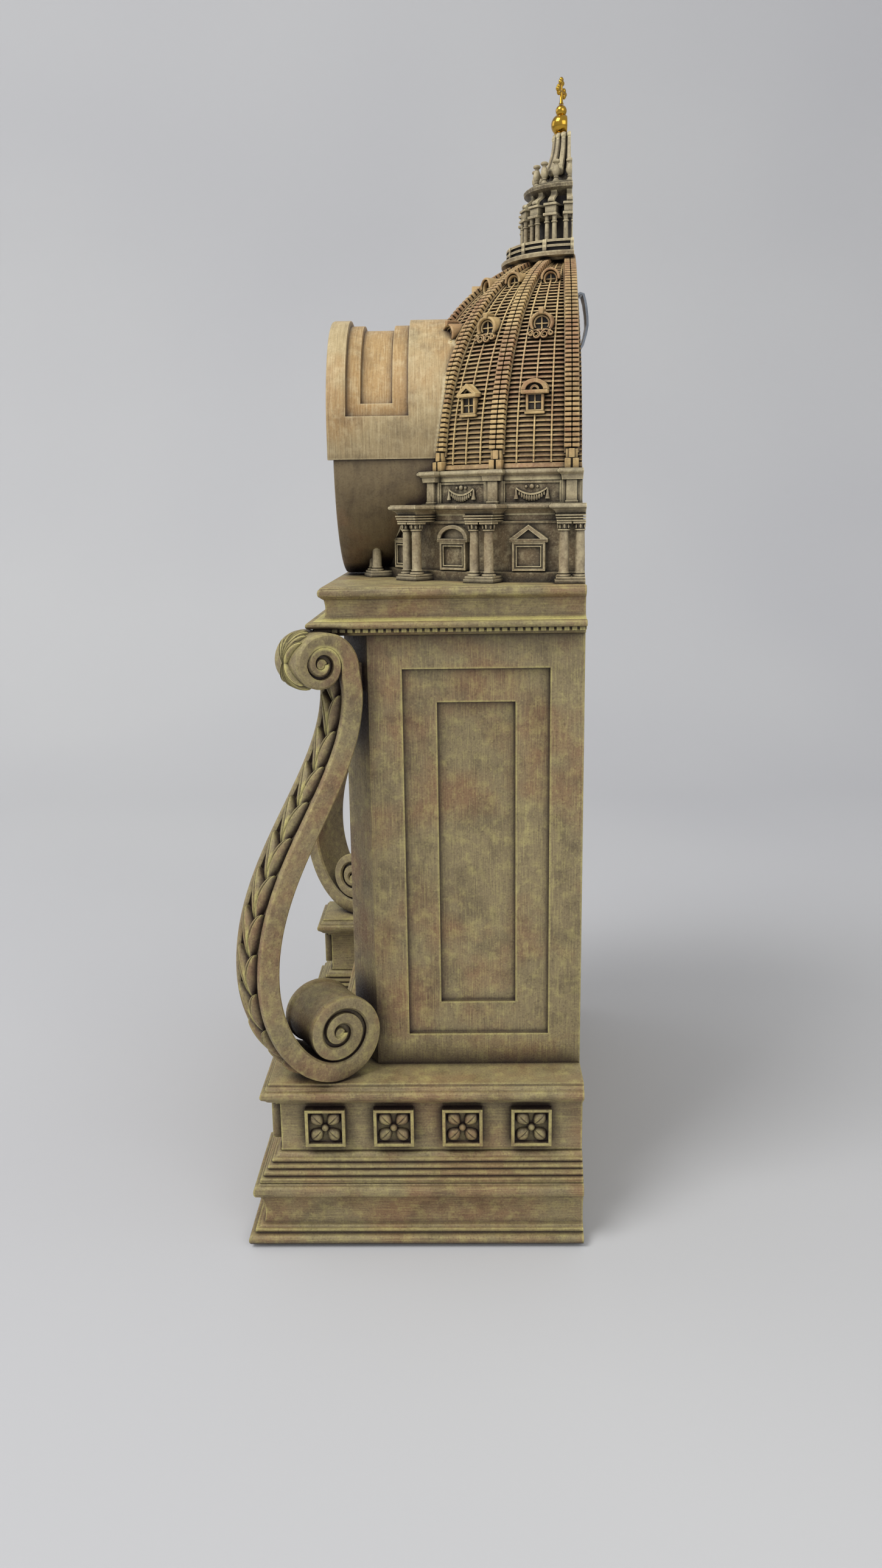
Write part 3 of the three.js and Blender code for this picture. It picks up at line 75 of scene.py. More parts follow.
# Angles in degrees round the half circle, from the right over the front to the left: column pairs, ribs and bays
PAIRS = [3.2 + 23.1 * i for i in range(4)] + [107.5 + 23.1 * i for i in range(4)]
RIBS = [a - 1.0 if a == PAIRS[2] else a + 1.0 if a == PAIRS[5] else a for a in PAIRS]
BAYS = [(a + b) / 2 for a, b in zip(PAIRS, PAIRS[1:])]
COLUMN_RING, COLUMN_GAP, WALL, COLUMN_TOP, ENTABLATURE_TOP = 75.7, 2.6, 69.0, 246.4, 252.2
ATTIC, ATTIC_TOP = 65.0, 263.4
DOME, DOME_RISE, LANTERN_FLOOR = 61.8, 74.4, 335.6
RAIL, FLOOR_TOP, RAIL_TOP = 22.6, 338.2, 342.2
LANTERN_CORNICE, URN_RING, SPIRE_TOP = 362.0, 12.4, 380.7
ORB, KNOP, KNOP_HEIGHT, FINIAL_Y, CROSS_TOP, CROSS_TURN = 3.6, 2.0, 388.9, -3.0, 400.0, -24
AXIS, DRUM, DRUM_FRONT, DRUM_BACK = 268.0, 41.0, -84.8, -34.0
HOOD, HOOD_AXIS, HOOD_FRONT = 42.0, 277.0, -86.8
BORE, BORE_END, SEAT, SEAT_DEPTH = 34.0, -52.0, 37.3, 6.1
ROOM = 39  # radius of the hollow that the storeys leave for the clock case
BACK_CUT = (0, -0.02, 0), (0, 1, 0)  # pieces end just short of the flat back
NUMERAL_RING, NUMERAL_SIZE, TRACK = 22.6, 7.0, (27.3, 29.5)


def colour(red, green, blue):
    """A colour picked as eyes see it, turned into the linear values that a shader takes."""
    return tuple((c / 255 / 12.92) if c < 11 else ((c / 255 + 0.055) / 1.055) ** 2.4 for c in (red, green, blue))


def shade(name, text, red, green, blue):
    """A colour that the user can change."""
    return bpy.props.FloatVectorProperty(
        name=name, description=text, subtype="COLOR", size=3, min=0, max=1, default=colour(red, green, blue))


class ClockColours(bpy.types.PropertyGroup):
    """Paints and metals of the clock"""
    stone: shade("Stone", "Paint on the pedestal, base and scrolls", 143, 128, 95)
    stone_tint: shade("Stone tint", "Brown patches in the stone paint", 142, 108, 78)
    # Stone rubbed also paints a highlight on upward faces; stone wash also paints shade in hollows and toward the
    # bottom of the hood and drum.
    stone_rub: shade("Stone rubbed", "Dry-brushed edges of the stone paint", 204, 192, 122)
    stone_wash: shade("Stone wash", "Dark wash left in the hollows of the stone paint", 46, 34, 32)
    cream: shade("Cream", "Paint on the clock hood", 189, 167, 123)
    field: shade("Hood panel", "Golden paint in the sunk panel of the hood", 187, 151, 98)
    cream_tint: shade("Cream tint", "Golden patches on the clock hood", 181, 143, 91)
    # Cream rubbed also paints a highlight on the hood's upward faces.
    cream_rub: shade("Cream rubbed", "Dry-brushed light on the clock hood", 235, 216, 171)
    # Painted shade: the drum's darker ground stands for the shade that the hood casts on it.
    drum: shade("Drum", "Darker paint on the lower half of the clock case", 122, 106, 78)
    temple: shade("Temple", "Grey paint on the walls", 110, 98, 77)
    column: shade("Columns", "Lighter paint on columns and ornament", 180, 166, 134)
    # Dark paint that stands also for the shade inside the windows and between the posts.
    recess: shade("Openings", "Dark paint inside windows and between posts", 48, 42, 38)
    temple_tint: shade("Temple tint", "Warm patches on the columns and walls", 136, 115, 85)
    # Temple rubbed also paints a highlight on upward faces; temple wash also paints shade in hollows and darkens the
    # openings.
    temple_rub: shade("Temple rubbed", "Dry-brushed edges on the columns and walls", 226, 211, 167)
    temple_wash: shade("Temple wash", "Dark wash on the columns and walls", 32, 27, 25)
    tile: shade("Roof tile", "Paint on the courses of the dome", 170, 138, 95)
    rib: shade("Ribs", "Lighter paint on the ribs, battens and dormers", 202, 171, 118)
    tile_tint: shade("Roof tile tint", "Reddish patches on the dome", 151, 102, 76)
    # Roof tile rubbed also paints a highlight on upward faces; roof tile wash also paints shade in the hollows and gaps
    # between the tiles.
    tile_rub: shade("Roof tile rubbed", "Dry-brushed edges on the dome", 234, 208, 149)
    tile_wash: shade("Roof tile wash", "Dark wash between the roof tiles", 26, 19, 14)
    gilt: shade("Gilt", "The ball and cross", 192, 152, 58)
    brass: shade("Brass", "Bezel ring of the insert", 205, 172, 98)
    dial: shade("Dial", "Card of the dial", 240, 233, 214)
    ink: shade("Ink", "Numerals and hands", 18, 17, 16)


class ClockSizes(bpy.types.PropertyGroup):
    """Counts and sizes of the ornament"""
    course: bpy.props.FloatProperty(
        name="Tile course", description="Height of one roof course and one rib bead, in millimetres",
        default=1.6, min=1.0, max=4.0)
    husk_pitch: bpy.props.FloatProperty(
        name="Husk pitch", description="Distance between the leaf pairs on a scroll, in millimetres",
        default=12.9, min=8.0, max=20.0)
    husks: bpy.props.IntProperty(
        name="Husks", description="Leaf pairs down each scroll", default=12, min=3, max=16)
    dentil: bpy.props.FloatProperty(
        name="Dentil pitch", description="Distance between the teeth under the cornice, in millimetres",
        default=2.5, min=1.5, max=6.0)
    streak: bpy.props.FloatProperty(
        name="Brush streaks", description="Strength of the dry-brushed streaks", default=0.5, min=0, max=1,
        subtype="FACTOR")
    # The strength of the dark wash together with the painted shade in the hollows.
    dirt: bpy.props.FloatProperty(
        name="Wash", description="Strength of the dark wash in the hollows", default=1.0, min=0, max=1,
        subtype="FACTOR")


# Hands: selecting, shaping and joining


def pick(*objs):
    """Leaves only these objects selected, with the first one active."""
    if bpy.context.object and bpy.context.object.mode != "OBJECT":
        bpy.ops.object.mode_set(mode="OBJECT")
    bpy.ops.object.select_all(action="DESELECT")
    for obj in objs:
        obj.select_set(True)
    if objs:
        bpy.context.view_layer.objects.active = objs[0]
        return objs[0]
    return None


def edit(obj):
    """Opens one object for editing and returns its mesh."""
    pick(obj)
    bpy.ops.object.mode_set(mode="EDIT")
    return bmesh.from_edit_mesh(obj.data)


def close():
    """Closes the edit and returns the object."""
    bpy.ops.object.mode_set(mode="OBJECT")
    return bpy.context.object


def face_outward(obj):
    """Turns all the faces of a body to look outward."""
    edit(obj)
    bpy.ops.mesh.select_all(action="SELECT")
    bpy.ops.mesh.normals_make_consistent(inside=False)
    return close()


def sweep(rings):
    """A filled outline, extruded from station to station."""
    pick()
    bpy.ops.mesh.primitive_circle_add(vertices=len(rings[0]), radius=1, fill_type="NGON")
    mesh = edit(bpy.context.object)
    ring = list(mesh.verts)
    for vert, place in zip(ring, rings[0]):
        vert.co = place
    for places in rings[1:]:
        bpy.ops.mesh.extrude_region_move()
        ring = [next(e.other_vert(v) for e in v.link_edges if e.other_vert(v).select) for v in ring]
        for vert, place in zip(ring, places):
            vert.co = place
    return close()


def stack(plan, profile):
    """A moulding: the plan's corners are moved out by each step of the profile, given as height and reach."""
    return sweep([[(x + ox * out, y + oy * out, z) for x, y, ox, oy in plan] for z, out in profile])


def slab(outline, low, high):
    """An outline in Y and Z, extruded along X."""
    return sweep([[(x, y, z) for y, z in outline] for x in (low, high)])


def turn(section, steps=64, axis="Z", centre=(0, 0, 0), angle=360):
    """A closed section, given as reach and height, spun round an axis."""
    pick()
    fill = "NOTHING" if angle == 360 else "NGON"
    bpy.ops.mesh.primitive_circle_add(vertices=len(section), radius=1, fill_type=fill)
    mesh = edit(bpy.context.object)
    base = Vector(centre)
    for vert, (reach, along) in zip(list(mesh.verts), section):
        vert.co = base + Vector((reach, along, 0) if axis == "Y" else (reach, 0, along))
    bpy.ops.mesh.select_all(action="SELECT")
    line = (0, 1, 0) if axis == "Y" else (0, 0, 1)
    bpy.ops.mesh.spin(steps=steps, angle=radians(angle), center=centre, axis=line, use_auto_merge=angle == 360)
    bpy.ops.mesh.select_all(action="SELECT")
    bpy.ops.mesh.remove_doubles(threshold=1e-3)
    bpy.ops.mesh.dissolve_degenerate(threshold=1e-4)
    return close()


def box(x0, x1, y0, y1, z0, z1):
    """A box between two corners."""
    pick()
    bpy.ops.mesh.primitive_cube_add(
        size=1, location=((x0 + x1) / 2, (y0 + y1) / 2, (z0 + z1) / 2), scale=(x1 - x0, y1 - y0, z1 - z0))
    bpy.ops.object.transform_apply(location=True, rotation=True, scale=True)
    return bpy.context.object


def block(x0, x1, half, z0, z1, soft=0, segments=1):
    """A box that sits evenly across the middle plane, with softened edges if asked."""
    obj = box(x0, x1, -half, half, z0, z1)
    return soften(obj, soft, segments) if soft else obj


def ball(radius, place, segments=12, rings=8, stretch=(1, 1, 1)):
    """A ball at a place, stretched if asked."""
    pick()
    bpy.ops.mesh.primitive_uv_sphere_add(
        segments=segments, ring_count=rings, radius=radius, location=place, scale=stretch)
    bpy.ops.object.transform_apply(location=True, rotation=True, scale=True)
    return bpy.context.object


def soften(obj, width, segments=2, angle=35):
    """Bevels the edges that turn by more than an angle."""
    pick(obj)
    tool = obj.modifiers.new("Soften", "BEVEL")
    tool.width, tool.segments, tool.limit_method, tool.angle_limit = width, segments, "ANGLE", radians(angle)
    tool.harden_normals = False
    bpy.ops.object.modifier_apply(modifier=tool.name)
    return obj


def carve(obj, *tools):
    """Cuts the tools out of a body and takes them away."""
    for tool in tools:
        pick(obj)
        step = obj.modifiers.new("Carve", "BOOLEAN")
        step.operation, step.solver, step.object = "DIFFERENCE", "EXACT", tool
        bpy.ops.object.modifier_apply(modifier=step.name)
        bpy.data.objects.remove(tool)
    return obj


def merge(*objs):
    """Several bodies as one object."""
    objs = [obj for obj in objs if obj]
    pick(*objs)
    if len(objs) > 1:
        bpy.ops.object.join()
    return bpy.context.object


def repeat(obj, places):
    """Copies of a modelled piece set out in a pattern, as one object."""
    whole = bmesh.new()
    for place in places:
        part = obj.data.copy()
        part.transform(place)
        if place.determinant() < 0:
            part.flip_normals()
        whole.from_mesh(part)
        bpy.data.meshes.remove(part)
    whole.to_mesh(obj.data)
    whole.free()
    return obj


def twin(obj, place=Matrix()):
    """One more object with its own mesh."""
    copy = obj.copy()
    copy.data = obj.data.copy()
    bpy.context.collection.objects.link(copy)
    copy.data.transform(place)
    if place.determinant() < 0:
        copy.data.flip_normals()
    return copy


def bend(obj, rule):
    """Moves each vertex by a rule."""
    for vert in obj.data.vertices:
        vert.co = rule(vert.co.copy())
    return obj


def blade(along, across, rule, depth):
    """A grid laid out by a rule as the upper side of a leaf, and closed below."""
    pick()
    bpy.ops.mesh.primitive_grid_add(x_subdivisions=along, y_subdivisions=across, size=2)
    edit(bend(bpy.context.object, rule))
    bpy.ops.mesh.select_all(action="SELECT")
    bpy.ops.mesh.remove_doubles(threshold=0.01)
    bpy.ops.mesh.select_all(action="SELECT")
    bpy.ops.mesh.region_to_loop()
    bpy.ops.mesh.extrude_region_move(TRANSFORM_OT_translate={"value": (0, 0, -depth)})
    bpy.ops.mesh.edge_face_add()
    return close()


def sink(obj, way, *steps):
    """Insets the outermost face that looks one way, pushes it in, and goes on from there."""
    mesh = edit(obj)
    way = Vector(way)
    bpy.ops.mesh.select_all(action="DESELECT")
    bpy.ops.mesh.select_mode(type="FACE")
    faces = [f for f in mesh.faces if f.normal.dot(way) > 0.99]
    top = max(faces, key=lambda f: f.calc_center_median().dot(way) * 1000 + f.calc_area())
    top.select = True
    mesh.select_flush_mode()
    for margin, depth in steps:
        bpy.ops.mesh.inset(thickness=margin)
        bpy.ops.mesh.extrude_region_move(TRANSFORM_OT_translate={"value": tuple(way * -depth)})
    return close()


def trim(obj, place, way):
    """Cuts off what lies beyond a plane and closes the cut."""
    edit(obj)
    bpy.ops.mesh.select_all(action="SELECT")
    bpy.ops.mesh.bisect(plane_co=place, plane_no=way, use_fill=True, clear_outer=True)
    return close()


def cut_ends(*pieces, angles=None):
    """A bay's pieces copied to both ends of the half circle, each one cut off by itself at the flat back."""
    cut = [trim(twin(piece, spun(a)), *BACK_CUT)
           for a in angles or (PAIRS[0], PAIRS[-1]) for piece in pieces]
    for piece in [piece for piece in cut if not piece.data.vertices]:
        cut.remove(piece)
        bpy.data.objects.remove(piece)
    return merge(*cut)


def seat(obj, name, body, slot, material, *nodes, smooth=35):
    """Names a finished piece, puts it in its place in metres, and gives it its paint and its body."""
    obj.name = obj.data.name = name
    obj.data.transform(Matrix.Translation((0, BACK, 0)) @ Matrix.Scale(0.001, 4))
    face_outward(obj)
    bpy.ops.object.shade_smooth_by_angle(angle=radians(smooth))
    if material:
        dress(obj, material)
    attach(obj, body)
    if nodes:
        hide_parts(*nodes)
    return obj


def seat_stone(obj, name, kind, node_name, smooth=35):
    """Seats a piece of the tan resin: its paint is panelled, level or carved."""
    return seat(obj, name, "case", "painted_resin_tan", "Stone paint " + kind, node_name, smooth=smooth)


def spun(angle):
    """Turns a piece drawn facing +X round to an angle from the near side towards the front."""
    return Matrix.Rotation(-radians(angle), 4, "Z")


def at(x, y, z):
    """A shift to a place."""
    return Matrix.Translation((x, y, z))


def make_room(*bodies, back=-45, height=AXIS):
    """Cuts the room of the clock case out of each body."""
    outline = [(0, DRUM_FRONT - 2), (ROOM, DRUM_FRONT - 2), (ROOM, back), (0, back)]
    for body in bodies:
        carve(body, turn(outline, 48, "Y", (0, 0, height)))


def behind_dial(point):
    """True inside the bore of the clock case, where only the insert belongs."""
    return point[1] < -49 and hypot(point[0], point[2] - AXIS) < 38.5


# Mouldings


def roll(z0, z1, reach, bulge, steps=8):
    """A half-round moulding as heights and reaches."""
    middle, half = (z0 + z1) / 2, (z1 - z0) / 2
    angles = [-pi / 2 + pi * i / steps for i in range(steps + 1)]
    return [(middle + half * sin(a), reach + bulge * cos(a)) for a in angles]


def hollow(z0, z1, reach0, reach1, sag, steps=6):
    """A hollow moulding as heights and reaches."""
    places = [i / steps for i in range(steps + 1)]
    return [(z0 + (z1 - z0) * t, reach0 + (reach1 - reach0) * t - sag * sin(pi * t)) for t in places]


def base_plan():
    """The base from above: two corner blocks with a recess between them."""
    inner = BASE_HALF - BASE_CORNER
    right = [(inner, -BASE_CENTRE, -1, -1), (inner, -BASE_DEPTH, -1, -1),
             (BASE_HALF, -BASE_DEPTH, 1, -1), (BASE_HALF, 0, 1, 0)]
    return [(-x, y, -ox, oy) for x, y, ox, oy in reversed(right)] + right


def cornice_plan():
    """The cornice from above."""
    return [(-PED_HALF, 0, -1, 0), (-PED_HALF, -CORNICE_FRONT, -1, -1),
            (PED_HALF, -CORNICE_FRONT, 1, -1), (PED_HALF, 0, 1, 0)]


def half_disc(steps=72):
    """A half circle whose radius comes from the profile's reach."""
    return [(0, 0, cos(pi * i / steps), -sin(pi * i / steps)) for i in range(steps + 1)]


def broken_plan(inner, outer, half, steps=7):
    """A half ring that breaks forward over each pair of columns."""
    plan = [(outer / cos(radians(PAIRS[0])), -0.06, 1, 0)]
    for index, angle in enumerate(PAIRS):
        a = radians(angle)
        out, along = Vector((cos(a), -sin(a))), Vector((-sin(a), -cos(a)))
        root = sqrt(inner ** 2 - half ** 2)
        corners = [(root, -half), (outer, -half), (outer, half), (root, half)]
        kept = corners[2:] if index == 0 else corners[:2] if index == len(PAIRS) - 1 else corners
        for reach, side in kept:
            place = out * reach + along * side
            lead = out + along * (1 if side > 0 else -1)
            plan.append((place.x, place.y, lead.x, lead.y))
        if index + 1 < len(PAIRS):
            skip = half / inner + 0.01
            first, last = a + skip, radians(PAIRS[index + 1]) - skip
            for b in np.linspace(first, last, steps):
                plan.append((inner * cos(b), -inner * sin(b), cos(b), -sin(b)))
    plan.append((-outer / cos(radians(PAIRS[0])), -0.06, -1, 0))
    return plan


# Paints and metals


def node(tree, kind, inputs=None, **settings):
    """Adds one shader node; inputs may be values or other nodes' sockets."""
    made = tree.nodes.new(kind)
    for key, value in settings.items():
        setattr(made, key, value)
    for key, value in (inputs or {}).items():
        if isinstance(value, bpy.types.NodeSocket):
            tree.links.new(value, made.inputs[key])
        else:
            made.inputs[key].default_value = value
    return made


def blend(tree, factor, first, second, kind="MIX"):
    """Mixes two colours."""
    mix = node(tree, "ShaderNodeMix", data_type="RGBA", blend_type=kind, clamp_factor=True)
    for index, value in ((0, factor), (6, first), (7, second)):
        if isinstance(value, bpy.types.NodeSocket):
            tree.links.new(value, mix.inputs[index])
        else:
            mix.inputs[index].default_value = value
    return mix.outputs[2]


def spread(tree, value, low, high, out_low=0.0, out_high=1.0):
    """Stretches a range of a value to another range."""
    return node(tree, "ShaderNodeMapRange", {
        "Value": value, "From Min": low, "From Max": high, "To Min": out_low, "To Max": out_high}).outputs[0]


def times(tree, first, second, kind="MULTIPLY"):
    """Multiplies two values, or joins them another way."""
    return node(tree, "ShaderNodeMath", {0: first, 1: second}, operation=kind).outputs[0]


def noise(tree, vector, scale, detail=3.0, rough=0.55):
    """Noise with this many spots to the metre."""
    return node(tree, "ShaderNodeTexNoise", {
        "Vector": vector, "Scale": scale, "Detail": detail, "Roughness": rough}).outputs["Fac"]


def brushed_paint_group():
    """Paint over a casting: mottled ground, dry-brushed streaks, a dark wash with painted shade in hollows, rubbed
    edges, a painted highlight on upward faces and painted shade toward the bottom where asked.
    """
    tree = bpy.data.node_groups.new("Brushed paint", "ShaderNodeTree")
    for way, kind, names in (
        ("INPUT", "Vector", ("Vector", "Streak")), ("INPUT", "Color", ("Ground", "Tint", "Rubbed", "Wash")),
        ("INPUT", "Float", ("Streaks", "Dirt", "Wear", "Reach", "Edge", "Stipple", "Fade", "Fade low", "Fade high")),
        ("OUTPUT", "Color", ("Color",)), ("OUTPUT", "Float", ("Roughness", "Height")),
    ):
        for name in names:
            tree.interface.new_socket(name=name, in_out=way, socket_type="NodeSocket" + kind)
    given = node(tree, "NodeGroupInput").outputs
    place = given["Vector"]
    cloud = noise(tree, place, 34, 4)
    blot = noise(tree, place, 95, 4, 0.6)
    patch = noise(tree, place, 260, 4, 0.65)
    fine = noise(tree, place, 1500, 3)
    drawn = node(tree, "ShaderNodeVectorMath", {0: place, 1: given["Streak"]}, operation="MULTIPLY").outputs[0]
    streak = noise(tree, drawn, 1.0, 4, 0.62)
    ground = blend(tree, spread(tree, cloud, 0.46, 0.62, 0, 0.75), given["Ground"], given["Tint"])
    ground = blend(tree, spread(tree, blot, 0.52, 0.36, 0, 0.3), ground, given["Wash"])
    ground = blend(tree, spread(tree, patch, 0.5, 0.68, 0, 0.3), ground, given["Rubbed"])
    light = times(tree, spread(tree, streak, 0.52, 0.7), given["Streaks"])
    dark = times(tree, spread(tree, streak, 0.48, 0.3), given["Streaks"])
    ground = blend(tree, light, ground, given["Rubbed"])
    ground = blend(tree, times(tree, dark, 0.8), ground, given["Wash"])
    # Painted highlight: faces that look upward take some of the rubbed colour, as if lit from above.
    upward = node(tree, "ShaderNodeSeparateXYZ", {0: node(tree, "ShaderNodeTexCoord").outputs["Normal"]}).outputs["Z"]
    ground = blend(tree, times(tree, spread(tree, upward, 0.25, 0.9, 0, 0.1), given["Wear"]), ground, given["Rubbed"])
    # Painted shade: below the given heights the paint darkens toward the wash colour, standing for the shade under the
    # hood.
    height = node(tree, "ShaderNodeSeparateXYZ", {0: place}).outputs["Z"]
    low = times(tree, spread(tree, height, given["Fade high"], given["Fade low"]), given["Fade"])
    ground = blend(tree, low, ground, given["Wash"])
    edge = node(tree, "ShaderNodeAmbientOcclusion", {"Distance": given["Edge"]}, samples=5, inside=True)
    rub = times(tree, spread(tree, edge.outputs["AO"], 0.84, 0.5), given["Wear"])
    rub = times(tree, rub, spread(tree, patch, 0.34, 0.56, 0.5, 1.15))
    painted = blend(tree, rub, ground, given["Rubbed"])
    for low, high, much, over in ((0.55, 0.72, 0.45, "Wash"), (0.42, 0.3, 0.3, "Rubbed")):
        speckle = times(tree, spread(tree, fine, low, high, 0, much), given["Stipple"])
        painted = blend(tree, speckle, painted, given[over])
    # Dark wash and painted shade: hollows within the wash's reach and within the edge width darken toward the wash
    # colour.
    for reach, low, high in ((given["Reach"], 0.95, 0.45), (given["Edge"], 0.92, 0.5)):
        shelter = node(tree, "ShaderNodeAmbientOcclusion", {"Distance": reach}, samples=5)
        hidden = times(tree, spread(tree, shelter.outputs["AO"], low, high), given["Dirt"])
        hidden = times(tree, hidden, spread(tree, blot, 0.3, 0.6, 0.8, 1.1))
        painted = blend(tree, hidden, painted, given["Wash"])
    rough = spread(tree, fine, 0.3, 0.7, 0.42, 0.66)
    relief = times(tree, times(tree, streak, 0.6), times(tree, fine, given["Stipple"]), "ADD")
    node(tree, "NodeGroupOutput", {"Color": painted, "Roughness": rough, "Height": relief})
    return tree


def shader(name, metallic=0.0, roughness=0.5, **fixed):
    """A new material with its surface shader and its place on the object."""
    material = bpy.data.materials.new(name)
    material.use_nodes = True
    tree = material.node_tree
    surface = tree.nodes["Principled BSDF"]
    surface.inputs["Metallic"].default_value = metallic
    surface.inputs["Roughness"].default_value = roughness
    for key, value in fixed.items():
        surface.inputs[key.replace("_", " ")].default_value = value
    place = node(tree, "ShaderNodeTexCoord").outputs["Object"]
    return material, tree, surface, place


def cover(tree, surface, tone, rough=None, height=None, strength=0.0, distance=0.0):
    """Leads a colour, and if given a roughness and a relief, into the surface."""
    tree.links.new(tone, surface.inputs["Base Color"])
    if rough:
        tree.links.new(rough, surface.inputs["Roughness"])
    if height:
        bump = node(tree, "ShaderNodeBump", {"Height": height, "Strength": strength, "Distance": distance})
        tree.links.new(bump.outputs[0], surface.inputs["Normal"])


def made_once(make):
    """A material is made at its first use and found by its name after that."""
    def find(name, *rest, **more):
        return bpy.data.materials.get(name) or make(name, *rest, **more)
    return find


@made_once
# The rubbed colour also paints the highlight on upward faces, and the wash colour also paints shade in hollows and
# toward the bottom.
def paint(name, ground, tint, rubbed, wash, streak, streaks, wear, reach, edge, stipple, fade=(0.0, 0.0, 1.0)):
    """One weathered paint, with its painted shade and highlight, out of the shared group."""
    group = bpy.data.node_groups.get("Brushed paint") or brushed_paint_group()
    material, tree, surface, place = shader(name, Specular_IOR_Level=0.35)
    coat = node(tree, "ShaderNodeGroup", node_tree=group)
    tree.links.new(place, coat.inputs["Vector"])
    size = bpy.context.scene.clock_sizes
    for key, value in (("Ground", (*ground, 1)), ("Tint", (*tint, 1)), ("Rubbed", (*rubbed, 1)), ("Wash", (*wash, 1)),
                       ("Streak", streak), ("Streaks", size.streak * streaks), ("Dirt", size.dirt), ("Wear", wear),
                       ("Reach", reach), ("Edge", edge), ("Stipple", stipple), ("Fade", fade[0]),
                       ("Fade low", fade[1]), ("Fade high", fade[2])):
        coat.inputs[key].default_value = value
    cover(tree, surface, coat.outputs["Color"], coat.outputs["Roughness"], coat.outputs["Height"], 0.6, 0.0004)
    return material


# How tightly the brush marks sit along X, Y and Z
UPRIGHT, LEVEL, ALL_WAYS, AROUND = (2400, 2400, 110), (110, 110, 2400), (420, 420, 380), (110, 2400, 110)
STONE, TEMPLE = "stone_tint stone_rub stone_wash", "temple_tint temple_rub temple_wash"
ROOF, HOOD_TONES = "tile_tint tile_rub tile_wash", "cream_tint cream_rub stone_wash"
# Painted shade toward the bottom of the hood: strength, the height where it is full and the height where it ends, in
# metres.
HOOD_PAINTED_SHADE = (0.42, 0.262, 0.294)
# Name: colours of ground, tint, rub (also the painted highlight) and wash (also the painted shade); brush marks and
# their strength; wear and highlight; reach of the wash and painted shade, width of the rubbed edge and stipple; then
# how strongly, and between which heights in metres, painted shade darkens the paint downward
PAINTS = {
    "Stone paint panelled": ("stone " + STONE, UPRIGHT, 0.6, 1.0, 0.009, 0.001, 0.8),
    "Stone paint level": ("stone " + STONE, LEVEL, 0.6, 1.0, 0.004, 0.001, 0.8),
    "Stone paint carved": ("stone " + STONE, ALL_WAYS, 0.5, 1.0, 0.006, 0.001, 0.8),
    "Column paint": ("column " + TEMPLE, ALL_WAYS, 0.6, 0.9, 0.003, 0.0004, 0.7),
    "Temple paint": ("temple " + TEMPLE, ALL_WAYS, 0.6, 0.9, 0.005, 0.0004, 1.0),
    "Rib paint": ("rib " + ROOF, ALL_WAYS, 0.5, 0.8, 0.0016, 0.0003, 0.5),
    "Roof paint": ("tile " + ROOF, ALL_WAYS, 0.5, 0.8, 0.0016, 0.0003, 0.5),
    # Openings: dark paint that stands also for the shade inside windows and between posts.
    "Recess paint": ("recess temple_wash temple temple_wash", ALL_WAYS, 0.4, 0.3, 0.005, 0.0008, 0.5),
    "Hood paint": ("cream " + HOOD_TONES, AROUND, 0.75, 0.8, 0.004, 0.0008, 0.4, HOOD_PAINTED_SHADE),
    "Hood panel paint": ("field " + HOOD_TONES, AROUND, 0.75, 0.8, 0.004, 0.0008, 0.4, HOOD_PAINTED_SHADE),
    # The drum: a darker ground and painted shade toward the bottom, standing for the shade under the hood.
    "Drum paint": ("drum stone_tint stone stone_wash", (90, 600, 90), 0.5, 0.6, 0.005, 0.0008, 0.6, (0.3, 0.23, 0.265)),
}


def painted(name):
    """One of the clock's paints, in the colours now set."""
    tones, *rest = PAINTS[name]
    return paint(name, *(getattr(bpy.context.scene.clock_colours, tone) for tone in tones.split()), *rest)


def dress(obj, *materials):
    """Gives one body its own paints, made or by name; a body is dressed before it is joined to the others."""
    obj.data.materials.clear()
    for material in materials:
        obj.data.materials.append(painted(material) if isinstance(material, str) else material)
    return obj


@made_once
def metal(name, tone, roughness, grain=(300, 300, 300), depth=0.15):
    """Metal with a drawn grain, faint stains and small dents."""
    material, tree, surface, place = shader(name, 1.0, roughness)
    drawn = node(tree, "ShaderNodeVectorMath", {0: place, 1: grain}, operation="MULTIPLY").outputs[0]
    lines = noise(tree, drawn, 1.0, 3)
    stain = noise(tree, place, 130, 4)
    dark = tuple(c * 0.55 for c in tone)
    cover(tree, surface, blend(tree, spread(tree, stain, 0.55, 0.3, 0, 0.6), (*tone, 1), (*dark, 1)),
          spread(tree, lines, 0.3, 0.7, roughness * 0.7, roughness * 1.4), lines, depth, 0.0002)
    return material


@made_once
def moulded_plastic(name, tone, roughness=0.45):
    """Moulded plastic with a fine spark-eroded grain."""
    material, tree, surface, place = shader(name, 0.0, roughness)
    grain = noise(tree, place, 2600, 2)
    cloud = noise(tree, place, 120, 3)
    dull = tuple(min(1, c * 1.5 + 0.01) for c in tone)
    cover(tree, surface, blend(tree, spread(tree, cloud, 0.45, 0.75, 0, 0.4), (*tone, 1), (*dull, 1)),
          spread(tree, cloud, 0.3, 0.7, roughness * 0.85, roughness * 1.2), grain, 0.25, 0.0001)
    return material


def clear_glass():
    """Clear glass with faint smears."""
    material, tree, surface, place = shader("Clear lens", 0.0, 0.03, Transmission_Weight=1.0, IOR=1.45)
    smear = noise(tree, place, 90, 4)
    cover(tree, surface, blend(tree, spread(tree, smear, 0.4, 0.8), (1, 1, 1, 1), (0.93, 0.96, 0.95, 1)),
          spread(tree, smear, 0.35, 0.75, 0.02, 0.07))
    return material


# The pieces, from the floor up


